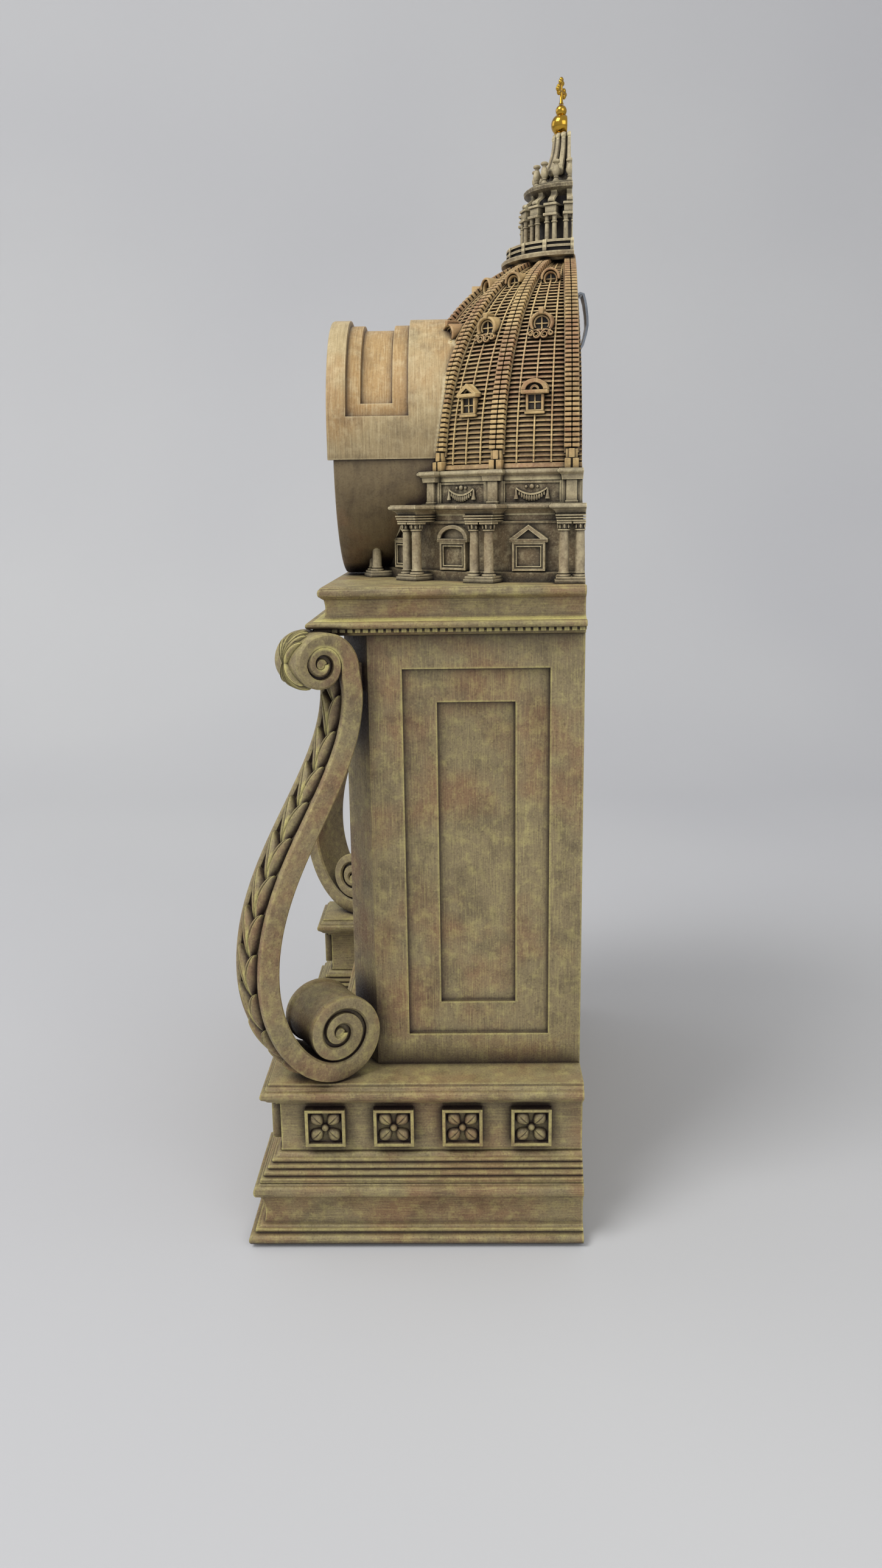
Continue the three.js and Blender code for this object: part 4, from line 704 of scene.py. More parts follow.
class CLOCK_OT_add_feet(bpy.types.Operator):
    """Model the four pads"""
    bl_idname = "clock.add_feet"
    bl_label = "Feet"

    def execute(self, context):
        for side, x in (("left", -FOOT_X), ("right", FOOT_X)):
            for row, y in FOOT_Y:
                pad = turn([(0, 0), (4.4, 0), (4.9, 0.25), (5, 0.6), (4.9, 1.1), (4.7, 1.2), (0, 1.2)], 40)
                pad.data.transform(at(x, y, 0))
                seat(pad, f"pad_{row}_{side}", "case", "foot_pad_black",
                     moulded_plastic("Black felt rubber", colour(26, 25, 24), 0.85), f"foot_{row}_{side}")
        return {"FINISHED"}


class CLOCK_OT_add_base(bpy.types.Operator):
    """Model the plinth, the step moulding and the frieze cap"""
    bl_idname = "clock.add_base"
    bl_label = "Base mouldings"

    def execute(self, context):
        plan = base_plan()
        low, top = FOOT_TOP, PLINTH_TOP
        plinth = stack(plan, [
            *roll(low, low + 3.2, 10.1, 1.0), (low + 3.3, 9.2), (low + 3.5, 8.6), (low + 3.9, 8.6), (low + 4.0, 9.0),
            (low + 4.9, 8.9), (low + 5.0, 7.7), (low + 5.5, 7.5), (low + 5.6, 6.6),
            *hollow(low + 5.9, top - 5.2, 6.1, 7.0, 0.9), (top - 5.0, 7.5), (top - 4.6, 7.6),
            *roll(top - 4.4, top - 0.5, 8.2, 0.9), (top - 0.4, 7.4), (top, 7.2)])
        seat_stone(soften(plinth, 0.25, 1, 50), "plinth_moulding", "level", "base_plinth")
        step = stack(plan, [
            (top, 6.7), (top + 0.2, 6.9), (top + 1.6, 6.8), (top + 1.8, 6.0),
            *roll(top + 2.0, top + 3.6, 5.2, 0.5, 5), (top + 3.8, 4.8), *roll(top + 4.0, top + 5.4, 3.9, 0.5, 5),
            (top + 5.6, 3.5), *roll(top + 5.8, top + 7.3, 2.5, 0.5, 5), (top + 7.5, 1.9), (FRIEZE_LOW, 1.0)])
        seat_stone(soften(step, 0.2, 1, 50), "step_moulding", "level", "base_step_moulding")
        cap = stack(plan, [
            (FRIEZE_LOW, 0), (FRIEZE_LOW + 0.8, 0), (FRIEZE_LOW + 0.9, -0.2), (FRIEZE_TOP - 0.8, -0.2), (FRIEZE_TOP, 0),
            (FRIEZE_TOP + 0.3, 1.1), (FRIEZE_TOP + 0.9, 1.2),
            *hollow(FRIEZE_TOP + 1.1, FRIEZE_TOP + 3, 1.8, 4.3, -0.4, 5),
            (FRIEZE_TOP + 3.1, 4.6), *roll(FRIEZE_TOP + 3.4, FRIEZE_TOP + 6.4, 4.8, 1.0),
            (FRIEZE_TOP + 6.6, 4.2), (BASE_TOP - 1, 3.8), (BASE_TOP - 0.9, 3.1), (BASE_TOP - 0.1, 3), (BASE_TOP, 2.8)])
        seat_stone(soften(cap, 0.2, 1, 50), "frieze_cap", "level", "base_frieze_cap")
        return {"FINISHED"}


def petal():
    """One plump leaf with a sunk vein, pointing along +X and standing up along +Z."""
    def rule(place):
        t, u = (place.x + 1) / 2, place.y
        width = 2.5 * sin(pi * t ** 1.25) ** 0.7
        rise = 2.1 * sin(pi * t) ** 0.5 * sqrt(max(0, 1 - u * u)) - 0.4 * sin(pi * t) * max(0, 1 - abs(u) * 5)
        return Vector((1.0 + 6.1 * t, u * width, rise))

    return blade(12, 12, rule, 0.4)


def rosette_tile():
    """A framed tile facing -Y with its back at zero, four diagonal leaves and a middle bead."""
    half = TILE_SIZE / 2
    tray = box(-half, half, -TILE_DEPTH, 0, -half, half)
    sink(tray, (0, -1, 0), (1.15, 2.1))
    soften(tray, 0.22, 2, 30)
    leaf = petal()
    up = Matrix.Rotation(radians(90), 4, "X")
    lift = at(0, -(TILE_DEPTH - 2.1), 0)
    repeat(leaf, [lift @ up @ Matrix.Rotation(radians(a), 4, "Z") for a in (45, 135, 225, 315)])
    bead = ball(1.25, (0, -(TILE_DEPTH - 1.0), 0), 14, 10, (1, 1.1, 1))
    return merge(tray, leaf, bead)


class CLOCK_OT_add_tiles(bpy.types.Operator):
    """Model the rosette tile and set its ten copies"""
    bl_idname = "clock.add_tiles"
    bl_label = "Rosette tiles"

    def execute(self, context):
        tile = rosette_tile()
        for side, name in ((1, "right"), (-1, "left")):
            for index, y in enumerate(TILE_ROW):
                place = at(side * (BASE_HALF + SEAM), y, TILE_HEIGHT) @ Matrix.Rotation(side * pi / 2, 4, "Z")
                seat_stone(twin(tile, place), f"rosette_{name}_{index + 1}", "carved", f"side_tile_{name}_{index + 1}")
            front = twin(tile, at(side * (BASE_HALF - BASE_CORNER / 2), -BASE_DEPTH - SEAM, TILE_HEIGHT))
            seat_stone(front, f"rosette_front_{name}", "carved", f"front_tile_{name}")
        bpy.data.objects.remove(tile)
        return {"FINISHED"}


class CLOCK_OT_add_pedestal(bpy.types.Operator):
    """Model the panelled pedestal"""
    bl_idname = "clock.add_pedestal"
    bl_label = "Pedestal"

    def execute(self, context):
        plan = [(PED_HALF, 0, 1, 0), (PED_HALF, -PED_SIDE, 1, 0), (PED_HALF - CANT, -PED_DEPTH, 0, -1)]
        plan = plan + [(-x, y, -ox, oy) for x, y, ox, oy in reversed(plan)]
        body = sweep([[(x, y, z) for x, y, _, _ in plan] for z in (BASE_TOP, PED_TOP)])
        face_outward(body)
        for way in ((1, 0, 0), (-1, 0, 0)):
            sink(body, way, (11.0, 0.0), (0.35, 1.8), (10.9, 0.0), (0.5, 1.8))
        sink(body, (0, -1, 0), (13.5, 0.0), (0.35, 1.8), (11.4, 0.0), (0.5, 1.8))
        soften(body, 0.45, 3, 30)
        seat_stone(body, "pedestal_block", "panelled", "pedestal")
        return {"FINISHED"}


class CLOCK_OT_add_cornice(bpy.types.Operator):
    """Model the cornice with its dentils"""
    bl_idname = "clock.add_cornice"
    bl_label = "Cornice"

    def execute(self, context):
        plan = cornice_plan()
        bed = stack(plan, [(PED_TOP, 0.6), (PED_TOP + 0.5, 1.5), (NOSE_LOW - 1.4, 1.7), (NOSE_LOW - 1.2, 3.7),
                           (NOSE_LOW, 3.8), (NOSE_LOW + 0.02, 5.2),
                           *roll(NOSE_LOW + 0.1, NOSE_TOP - 0.1, 5.4, 0.9), (NOSE_TOP, 5.1)])
        soften(bed, 0.15, 1, 50)
        pitch = bpy.context.scene.clock_sizes.dentil
        tooth = soften(box(0.5, 3.2, -pitch * 0.36, pitch * 0.36, NOSE_LOW - 1.3, NOSE_LOW + 0.1), 0.15, 1)
        places = []
        for index in range(int(CORNICE_FRONT / pitch)):
            y = -pitch * (index + 0.6)
            places += [at(PED_HALF + 1.5, y, 0), Matrix.Rotation(pi, 4, "Z") @ at(PED_HALF + 1.5, -y, 0)]
        count = int(PED_HALF * 2 / pitch)
        for index in range(count):
            x = (index - (count - 1) / 2) * pitch
            places.append(at(x, -CORNICE_FRONT - 1.5, 0) @ Matrix.Rotation(-pi / 2, 4, "Z"))
        seat_stone(merge(bed, repeat(tooth, places)), "cornice_bed_moulding", "level", "cornice_dentil_bed")
        slab_top = stack(plan, [
            (NOSE_TOP, 4.3), (NOSE_TOP + 0.5, 1.6), (NOSE_TOP + 1.1, 0.7),
            *hollow(NOSE_TOP + 1.3, FASCIA_TOP - 0.6, 0.5, 0.6, 0.35), (FASCIA_TOP, 1.5),
            *roll(FASCIA_TOP + 0.3, SLAB_TOP - 0.5, 1.8, 0.7), (SLAB_TOP, 1.6)])
        seat_stone(soften(slab_top, 0.2, 1, 50), "cornice_top", "level", "cornice_slab")
        return {"FINISHED"}


# Scroll consoles: drawn with X outward, Y across the strap and Z up, then turned onto the cut corner


def curl(eye, start, reach, thick):
    """Points round a scroll: reach and thickness are given at each quarter turn."""
    quarter = np.arange(len(reach)) * 90.0
    a = np.arange(0, quarter[-1] + 0.1, 7.5)
    fit = [np.poly1d(np.polyfit(quarter, values, 5)) for values in (reach, thick)]
    outer = 0.5 * np.interp(a, quarter, reach) + 0.5 * fit[0](a)
    full = np.interp(a, quarter, thick)
    turn_by = np.radians(start - a)
    middle = outer - full / 2
    return np.stack([eye[0] + middle * np.cos(turn_by), eye[1] + middle * np.sin(turn_by), full / 2], 1)


def curve(p0, p1, p2, p3, steps):
    """Points along a curve with two handles."""
    t = np.linspace(0, 1, steps)[:, None]
    p0, p1, p2, p3 = (np.array(p, float) for p in (p0, p1, p2, p3))
    return (1 - t) ** 3 * p0 + 3 * (1 - t) ** 2 * t * p1 + 3 * (1 - t) * t * t * p2 + t ** 3 * p3


def scroll_line():
    """The strap's middle line from eye to eye, with half its thickness at each point."""
    upper = curl(UPPER_EYE, UPPER_START, UPPER_CURL, (6.6, 4.8, 3.7, 3.3, 3.2, 3.2, 2.9, 2.5, 2.0))[::-1]
    lower = curl(LOWER_EYE, LOWER_START, LOWER_CURL, (7.0, 5.2, 4.2, 4.5, 4.7, 4.6, 4.0, 3.3, 2.7, 2.3))
    low = LOWER_EYE[1] - 14.0
    neck = curve(upper[-1, :2], (upper[-1, 0], 197), (111.4, 196), (111.4, 193.2), 4)[1:-1]
    down = curve((111.4, 193.2), (111.4, 162.2), (146.3, 139), (146.3, 99), 44)
    sweep_in = curve((146.3, 99), (146.3, 78.9), (134.5, low), lower[0, :2], 24)[1:-1]
    strap = np.concatenate([neck, down, sweep_in])
    strap = np.concatenate([strap, np.full((len(strap), 1), 3.55)], 1)
    return np.concatenate([upper, strap, lower]), len(upper), len(upper) + len(strap)


def distances(line):
    """The way gone along the line at each of its points."""
    return np.concatenate([[0], np.cumsum(np.linalg.norm(np.diff(line[:, :2], axis=0), axis=1))])


def ways(line):
    """The outward direction at each point of the line."""
    along = np.gradient(line[:, :2], axis=0)
    along /= np.linalg.norm(along, axis=1)[:, None]
    return np.stack([-along[:, 1], along[:, 0]], 1)


def strap_width(z):
    """Half the strap's width at a height: narrower toward the top."""
    rise = min(1, max(0, (z - LOWER_EYE[1]) / (UPPER_EYE[1] - LOWER_EYE[1])))
    return (STRAP_WIDTH_LOW + (STRAP_WIDTH_TOP - STRAP_WIDTH_LOW) * rise) / 2


def strap_band(line, first, last):
    """The strap as one swept band with a raised rim down each side of its front."""
    out = ways(line)
    rings = []
    for index, (s, z, half) in enumerate(line):
        wide = strap_width(z)
        inside = first <= index <= last + 6
        sunk = 1.7 if inside else 0.5
        edge = 3.3 * wide / 11
        section = [
            (-wide, half - 0.8), (-wide + 0.25, half - 0.25), (-wide + 0.9, half), (-wide + edge - 0.6, half),
            (-wide + edge, half - 0.5), (-wide + edge + 0.2, half - sunk), (wide - edge - 0.2, half - sunk),
            (wide - edge, half - 0.5), (wide - edge + 0.6, half), (wide - 0.9, half), (wide - 0.25, half - 0.25),
            (wide, half - 0.8), (wide, -half + 0.7), (wide - 0.7, -half), (-wide + 0.7, -half), (-wide, -half + 0.7)]
        rings.append([(s + out[index, 0] * h, w, z + out[index, 1] * h) for w, h in section])
    return sweep(rings)


def scroll_cheek(eye, start, reach, wide):
    """The sunk disc between the turns of a scroll."""
    points = []
    for a in np.arange(0, 360, 10.0):
        radius, way = np.interp(a, np.arange(5) * 90.0, reach) - 1.6, radians(start - a)
        points.append((eye[0] + radius * cos(way), eye[1] + radius * sin(way)))
    return sweep([[(s, w, z) for s, z in points] for w in (-wide, wide)])


def leaf(across, long, wide, rise, foot, tip):
    """A plump veined leaf from its foot at the origin to a tip out to one side; Z runs from foot to tip height."""
    length = hypot(across, long)

    def rule(place):
        t, u = (place.x + 1) / 2, place.y
        half = wide * sin(pi * min(1, t ** 0.8)) ** 0.75
        bow = 0.08 * length * sin(pi * t) * (-1 if across > 0 else 1 if across < 0 else 0)
        x = across * t + (u * half + bow) * long / length
        y = -long * t + (u * half + bow) * across / length
        swell = sqrt(max(0, 1 - u * u)) * sin(pi * min(1, 0.04 + 0.96 * t)) ** 0.5
        vein = max(0, 1 - abs(u) / 0.18) * 0.4 + 0.1 * cos(u * 16)
        return Vector((x, y, foot + (tip - foot) * t + rise * swell - vein * swell * min(1, rise / 2)))

    return blade(14, 10, rule, 1.2)


def husk():
    """One leaf pair of the chain: two broad leaves over two narrow ones, all from one foot."""
    return merge(*(leaf(*shape) for side in (-1, 1) for shape in (
        (side * 6.6, 16.5, 3.3, 2.0, 0.1, 2.2), (side * 2.5, 12.0, 1.6, 1.5, 0.0, 0.9))))


def wrap(shape, line, start, lift):
    """Lays a flat relief along the strap: Y becomes the distance down the line, Z stands off it."""
    reach, out = distances(line), ways(line)

    def rule(place):
        at_length = start + place.y
        s, z, half = (np.interp(at_length, reach, line[:, k]) for k in range(3))
        normal = Vector((np.interp(at_length, reach, out[:, 0]), np.interp(at_length, reach, out[:, 1])))
        normal.normalize()
        height = half + place.z - lift
        return Vector((s + normal.x * height, place.x * strap_width(z) / 11, z + normal.y * height))

    return bend(shape, rule)


class CLOCK_OT_add_scrolls(bpy.types.Operator):
    """Model one scroll console and mirror it"""
    bl_idname = "clock.add_scrolls"
    bl_label = "Scroll consoles"

    def execute(self, context):
        size = bpy.context.scene.clock_sizes
        line, first, last = scroll_line()
        reach = distances(line)
        parts = [strap_band(line, first, last)]
        for eye, start, radii, wide in (
            (UPPER_EYE, UPPER_START, UPPER_CURL, STRAP_WIDTH_TOP / 2),
            (LOWER_EYE, LOWER_START, LOWER_CURL, STRAP_WIDTH_LOW / 2),
        ):
            parts.append(scroll_cheek(eye, start, radii[:5], wide - 1.8))
            boss = turn([(0, -wide + 0.3), (1.7, -wide + 0.5), (2.1, -wide + 1), (2.1, wide - 1), (1.7, wide - 0.5),
                         (0, wide - 0.3)], 20, "Y", (0, 0, 0))
            boss.data.transform(at(eye[0], 0, eye[1]))
            parts.append(boss)
        pair = husk()
        start = reach[first] + 10
        for index in range(size.husks):
            parts.append(wrap(twin(pair), line, start + index * size.husk_pitch, 1.7))
        back, over = line[::-1].copy(), reach[-1] - reach[first]
        bpy.data.objects.remove(pair)
        for turned, start in ((1, over + 30), (-1, over + 28)):
            fan = merge(*(leaf(across, long, 1.55, 1.9, 0.0, 0.4) for across, long in (
                (-8.4, 7.0), (8.4, 7.0), (-6.2, 9.5), (6.2, 9.5), (-3.2, 11.2), (3.2, 11.2), (0, 12))))
            fan.data.transform(Matrix.Scale(turned, 4, (0, 1, 0)))
            parts.append(wrap(fan, back, start, 0.5))
        land = block(0, 1, 3, UPPER_EYE[1] - 11, UPPER_EYE[1] - 1)
        flat = PED_HALF * sin(TURN) + PED_SIDE * cos(TURN) + SEAM
        bend(land, lambda p: Vector((flat if p.x < 0.5 else UPPER_EYE[0] - 10, p.y, p.z)))
        parts.append(soften(land, 0.5, 2))
        whole = merge(*parts)
        outward, face = Vector((sin(TURN), -cos(TURN), 0)), Vector((cos(TURN), sin(TURN), 0))
        place = Matrix((outward, face, (0, 0, 1))).transposed().to_4x4()
        place.translation = face * STRAP_MIDDLE
        whole.data.transform(place)
        other = twin(whole, Matrix.Scale(-1, 4, (1, 0, 0)))
        seat_stone(whole, "scroll_right", "carved", "scroll_console_right", 40)
        seat_stone(other, "scroll_left", "carved", "scroll_console_left", 40)
        return {"FINISHED"}


# The half-round building


def column(foot, top, radius, reach, sides=20):
    """A turned column with its base, necking and capital, standing out along +X."""
    shaft = turn([
        (0, foot), (radius * 1.42, foot), (radius * 1.5, foot + 0.35), (radius * 1.42, foot + 0.75),
        (radius * 1.12, foot + 0.95), (radius * 1.1, foot + 1.15), (radius * 1.24, foot + 1.4),
        (radius * 1.1, foot + 1.65), (radius, foot + 1.9), (radius * 1.0, foot + (top - foot) * 0.4),
        (radius * 0.87, top - 2.9), (radius * 1.2, top - 2.75), (radius * 1.22, top - 2.4), (radius * 0.9, top - 2.25),
        (radius * 0.92, top - 1.2), (radius * 1.05, top - 0.6), (0, top - 0.6)], sides, "Z")
    shaft.data.transform(at(reach, 0, 0))
    return shaft


def capital(top, radius, reach):
    """The leaf balls and the slab of a capital."""
    leaf = ball(0.5, (0, 0, 0), 6, 5, (0.8, 0.8, 1.7))
    repeat(leaf, [at(reach + radius * 1.08 * cos(a), radius * 1.08 * sin(a), top - 1.35)
                  for a in (i * pi / 4 for i in range(8))])
    plate = soften(box(reach - radius * 1.35, reach + radius * 1.35, -radius * 1.35, radius * 1.35,
                       top - 0.65, top + 0.05), 0.12, 1)
    return merge(leaf, plate)


def column_pair():
    """Two columns on one footing, with the thin bands under the cornice."""
    parts = []
    for side in (-COLUMN_GAP, COLUMN_GAP):
        for piece in (column(SLAB_TOP + 2.1, COLUMN_TOP, 1.65, COLUMN_RING), capital(COLUMN_TOP, 1.75, COLUMN_RING)):
            piece.data.transform(at(0, side, 0))
            parts.append(piece)
    parts.append(block(WALL - 1, 78.8, 5.5, SLAB_TOP, SLAB_TOP + 1.3, 0.2, 2))
    parts.append(block(WALL - 1, 78.4, 5.1, SLAB_TOP + 1.2, SLAB_TOP + 2.2, 0.2, 2))
    for index, z in enumerate((COLUMN_TOP + 0.1, COLUMN_TOP + 0.95, COLUMN_TOP + 1.8)):
        reach = 78.2 + 0.25 * index
        parts.append(block(WALL - 1, reach, 5.0 + 0.2 * index, z, z + 0.55, 0.12))
    return parts


def pediment(radius, low, high, half, pointed, proud):
    """A pointed or round pediment with its sunk field and its sill band."""
    lift = high - low - 1.1
    base = low + 1.1
    if pointed:
        outer = [(-half, base), (0, high), (half, base)]
        inner = [(half * 0.62, base + 0.05), (0, high - 1.5), (-half * 0.62, base + 0.05)]
    else:
        spread_by = np.linspace(pi, 0, 15)
        outer = [(half * cos(a), base + lift * sin(a)) for a in spread_by]
        inner = [((half - 1.5) * cos(a), base + 0.05 + (lift - 1.3) * sin(a)) for a in spread_by[::-1]]
    rim = slab([*outer, (half, base - 0.01), *inner, (-half, base - 0.01)] if pointed else [*outer, *inner],
               radius - 1, radius + proud)
    field = slab([(y * 0.96, z) for y, z in outer], radius - 1, radius + proud * 0.2)
    band = block(radius - 1, radius + proud * 1.05, half, low, low + 1.15)
    return merge(soften(rim, 0.15, 1), field, soften(band, 0.2, 2))


def blind_window(pointed):
    """A framed blind window with its pediment, on a wall that looks along +X."""
    low, high, half = SLAB_TOP + 3.7, COLUMN_TOP - 6.6, 5.6
    frame_body = block(WALL - 4, WALL + 1.75, half, low, high)
    sink(frame_body, (1, 0, 0), (0.75, 0.5), (0.5, -0.35), (0.35, 1.0))
    soften(frame_body, 0.1, 1)
    whole = merge(frame_body, pediment(WALL, high - 0.1, COLUMN_TOP - 1.0, 6.5, pointed, 1.9))
    dress(whole, "Column paint", "Temple paint")
    for face in whole.data.polygons:
        if face.normal.x > 0.9 and face.area > 9:
            face.material_index = 1
    return whole


class CLOCK_OT_add_temple(bpy.types.Operator):
    """Model the columns, windows and cornice"""
    bl_idname = "clock.add_temple"
    bl_label = "Temple storey"

    def execute(self, context):
        wall = stack(half_disc(), [
            (SLAB_TOP, 70.8), (SLAB_TOP + 3.1, 70.8), (SLAB_TOP + 3.4, 70.3), (SLAB_TOP + 3.5, 69.0),
            (COLUMN_TOP - 0.6, 69.0), (COLUMN_TOP - 0.5, 69.5), (COLUMN_TOP + 0.2, 69.6), (COLUMN_TOP + 0.3, 69.0),
            (ENTABLATURE_TOP - 1, 69.0)])
        crown = stack(broken_plan(69.1, 77.6, 5.0), [
            (COLUMN_TOP + 2.2, 0), (COLUMN_TOP + 2.7, 0.1),
            *hollow(COLUMN_TOP + 2.8, COLUMN_TOP + 4.1, 0.3, 1.8, 0.35, 4),
            (COLUMN_TOP + 4.15, 2.1), *roll(COLUMN_TOP + 4.3, ENTABLATURE_TOP - 0.3, 2.0, 0.5, 5),
            (ENTABLATURE_TOP, 1.9)])
        make_room(wall, crown)
        parts = column_pair()
        ends = cut_ends(*parts)
        pair = merge(*parts)
        cut_pair = trim(twin(pair), (0, 0, SLAB_TOP + 13.9), (0, 0, 1))
        repeat(cut_pair, [spun(PAIRS[3]), spun(PAIRS[4])])
        repeat(pair, [spun(a) for a in PAIRS[1:3] + PAIRS[5:7]])
        dress(wall, "Temple paint")
        parts = [wall] + [dress(piece, "Column paint") for piece in (crown, pair, cut_pair, ends)]
        for index, angle in enumerate(BAYS):
            if index != 3:
                window = blind_window(index % 2 == 0)
                window.data.transform(spun(angle))
                parts.append(window)
        seat(merge(*parts), "temple_building", "case", "painted_resin_grey", None, "temple_storey")
        return {"FINISHED"}


def swag():
    """A sagging garland with hanging drops, a bell at each end and three beads, facing +X."""
    parts = []
    drop = turn([(0, -1.9), (0.28, -1.7), (0.42, -1.1), (0.2, -0.2), (0, 0)], 6)
    places = []
    for index in range(11):
        y = -4.2 + 0.84 * index
        z = -1.9 + 1.9 * (y / 5.2) ** 2
        places.append(at(0.25, y, z) @ Matrix.Scale(0.72 + 0.45 * (1 - (y / 4.6) ** 2), 4))
    parts.append(repeat(drop, places))
    line = [(y, -1.7 + 1.9 * (y / 5.2) ** 2) for y in np.linspace(-5.2, 5.2, 15)]
    parts.append(slab([(y, z + 0.28) for y, z in line] + [(y, z - 0.28) for y, z in reversed(line)], -0.6, 0.55))
    bell = turn([(0, -3.5), (0.85, -3.5), (0.8, -3.1), (0.42, -1.8), (0.35, -0.5), (0.15, 0), (0, 0)], 10)
    parts.append(repeat(bell, [at(0.1, side, 0.3) for side in (-5.3, 5.3)]))
    parts.append(repeat(ball(1, (0, 0, 0), 10, 7), [
        at(0.1, 0, 0.75) @ Matrix.Scale(0.85, 4), at(0.1, 1.9, 0.7) @ Matrix.Scale(0.52, 4),
        at(0.1, -1.9, 0.7) @ Matrix.Scale(0.52, 4)]))
    return merge(*parts)


class CLOCK_OT_add_attic(bpy.types.Operator):
    """Model the piers and swags"""
    bl_idname = "clock.add_attic"
    bl_label = "Attic storey"

    def execute(self, context):
        low, top = ENTABLATURE_TOP, ATTIC_TOP
        wall = stack(half_disc(), [
            (low, 66.2), (low + 0.4, 66.2), (low + 0.5, ATTIC), (top - 4.6, ATTIC), (top - 4.5, ATTIC + 0.5),
            (top - 3.9, ATTIC + 0.5), (top - 3.8, ATTIC), (top - 1, ATTIC)])
        crown = stack(broken_plan(65.2, 67.8, 3.2), [
            (top - 3.6, 0), (top - 2.0, 0.25), *hollow(top - 1.9, top - 1.5, 0.5, 1.0, 0.1, 3),
            *roll(top - 1.4, top - 0.3, 1.1, 0.45, 5), (top, 1.0)])
        make_room(wall, crown)
        pier = (
            block(ATTIC - 1, ATTIC + 2.2, 1.75, low, top - 3.6, 0.15),
            block(ATTIC - 1, ATTIC + 0.9, 3.2, low, top - 3.6, 0.15),
            block(ATTIC - 1, ATTIC + 0.5, 3.9, low, top - 3.8),
            block(ATTIC - 1, ATTIC + 2.6, 2.1, low, low + 0.9, 0.15))
        ends = cut_ends(*pier)
        pier = merge(*pier)
        repeat(pier, [spun(a) for a in PAIRS[1:3] + PAIRS[5:7]])
        garland = swag()
        repeat(garland, [spun(a) @ at(ATTIC + 0.2, 0, top - 6.4) for a in BAYS[:2] + BAYS[5:]])
        dress(wall, "Temple paint")
        whole = merge(wall, *(dress(piece, "Column paint") for piece in (crown, pier, ends, garland)))
        seat(whole, "attic_walls", "case", "painted_resin_grey", None, "attic_storey")
        return {"FINISHED"}


# Dome: measured by the way walked up its curve


def meridian():
    """Way walked, reach, height and outward direction along the dome's curve."""
    phi = np.linspace(0, np.arcsin((LANTERN_FLOOR - ATTIC_TOP) / DOME_RISE), 400)
    r, h = DOME * np.cos(phi), DOME_RISE * np.sin(phi)
    walked = np.concatenate([[0], np.cumsum(np.hypot(np.diff(r), np.diff(h)))])
    nr, nh = np.cos(phi) / DOME, np.sin(phi) / DOME_RISE
    size = np.hypot(nr, nh)
    return walked, r, h + ATTIC_TOP, nr / size, nh / size


MERIDIAN = meridian()


def on_dome(walked, lift=0.0):
    """Reach and height of a point that stands off the dome's curve."""
    r, z, nr, nz = (np.interp(walked, MERIDIAN[0], MERIDIAN[k]) for k in range(1, 5))
    return r + nr * lift, z + nz * lift


def dome_frame(angle, walked, side=0.0, lift=0.0):
    """A place on the dome: X out of the surface, Y along the course, Z up the slope."""
    r, z, nr, nz = (float(np.interp(walked, MERIDIAN[0], MERIDIAN[k])) for k in range(1, 5))
    tilt = np.arctan2(nz, nr)
    return spun(angle) @ at(r + nr * lift, side, z + nz * lift) @ Matrix.Rotation(-tilt, 4, "Y")


def walked_to(height):
    """The way walked up the dome to a height."""
    return float(np.interp(height, MERIDIAN[2], MERIDIAN[0]))


def meridian_bar(side, half, low, high, foot, head, steps=40):
    """A bar that lies up the dome's curve, facing +X."""
    rings = []
    for walked in np.linspace(foot, head, steps):
        inner, outer = on_dome(walked, low), on_dome(walked, high)
        edge = half * 0.72
        rings.append([(inner[0], side - half, inner[1]), (outer[0] - 0.15, side - half, outer[1] - 0.05),
                      (outer[0], side - edge, outer[1]), (outer[0], side + edge, outer[1]),
                      (outer[0] - 0.15, side + half, outer[1] - 0.05), (inner[0], side + half, inner[1])])
    return sweep(rings)


def dome_shell(pitch):
    """The dome's body with a lip and a gap at each course of tiles."""
    count = int(MERIDIAN[0][-1] / pitch)
    profile = [(ATTIC_TOP, 63.0), (ATTIC_TOP + 0.6, 63.2), (ATTIC_TOP + 2.0, 62.6), (ATTIC_TOP + 2.1, 61.6)]
    for index in range(1, count):
        for walked, lift in ((index * pitch - 0.02, 0.75), (index * pitch + 0.45, 0.8), (index * pitch + 0.55, 0.3),
                             ((index + 1) * pitch - 0.04, -0.1)):
            r, z = on_dome(walked + 0.9, lift)
            if z < LANTERN_FLOOR:
                profile.append((float(z), float(r)))
    profile.append((LANTERN_FLOOR, profile[-1][1] - 0.1))
    return stack(half_disc(84), profile)


def rib_beads(pitch):
    """The double rows of beads up each rib, and the two-step blocks at their foot."""
    bead = block(-1.6, 1.0, 1.22, -pitch * 0.37, pitch * 0.37, 0.2)
    places = []
    count = int(MERIDIAN[0][-1] / pitch)
    for angle in RIBS:
        for index in range(4, count):
            walked = (index + 0.5) * pitch
            narrow = 1 - 0.25 * index / count
            for side in (-1.34, 1.34):
                place = dome_frame(angle, walked, side * narrow, 1.9)
                if place.translation.y < 0.2 and not behind_dial(place.translation):
                    places.append(place @ Matrix.Diagonal((1, narrow, 1, 1)))
    blocks = merge(
        soften(box(DOME - 2, DOME + 3.2, 0.35, 2.3, ATTIC_TOP, ATTIC_TOP + 3.2), 0.15, 1),
        soften(box(DOME - 2, DOME + 3.2, -2.3, -0.35, ATTIC_TOP, ATTIC_TOP + 3.2), 0.15, 1),
        block(DOME - 2, DOME + 2.2, 1.9, ATTIC_TOP, ATTIC_TOP + 6.2),
        block(DOME - 2, DOME + 2.9, 0.95, ATTIC_TOP + 3.4, ATTIC_TOP + 6.3, 0.15))
    repeat(blocks, [spun(a) for a in RIBS[:3] + RIBS[5:]])
    return repeat(bead, places), blocks


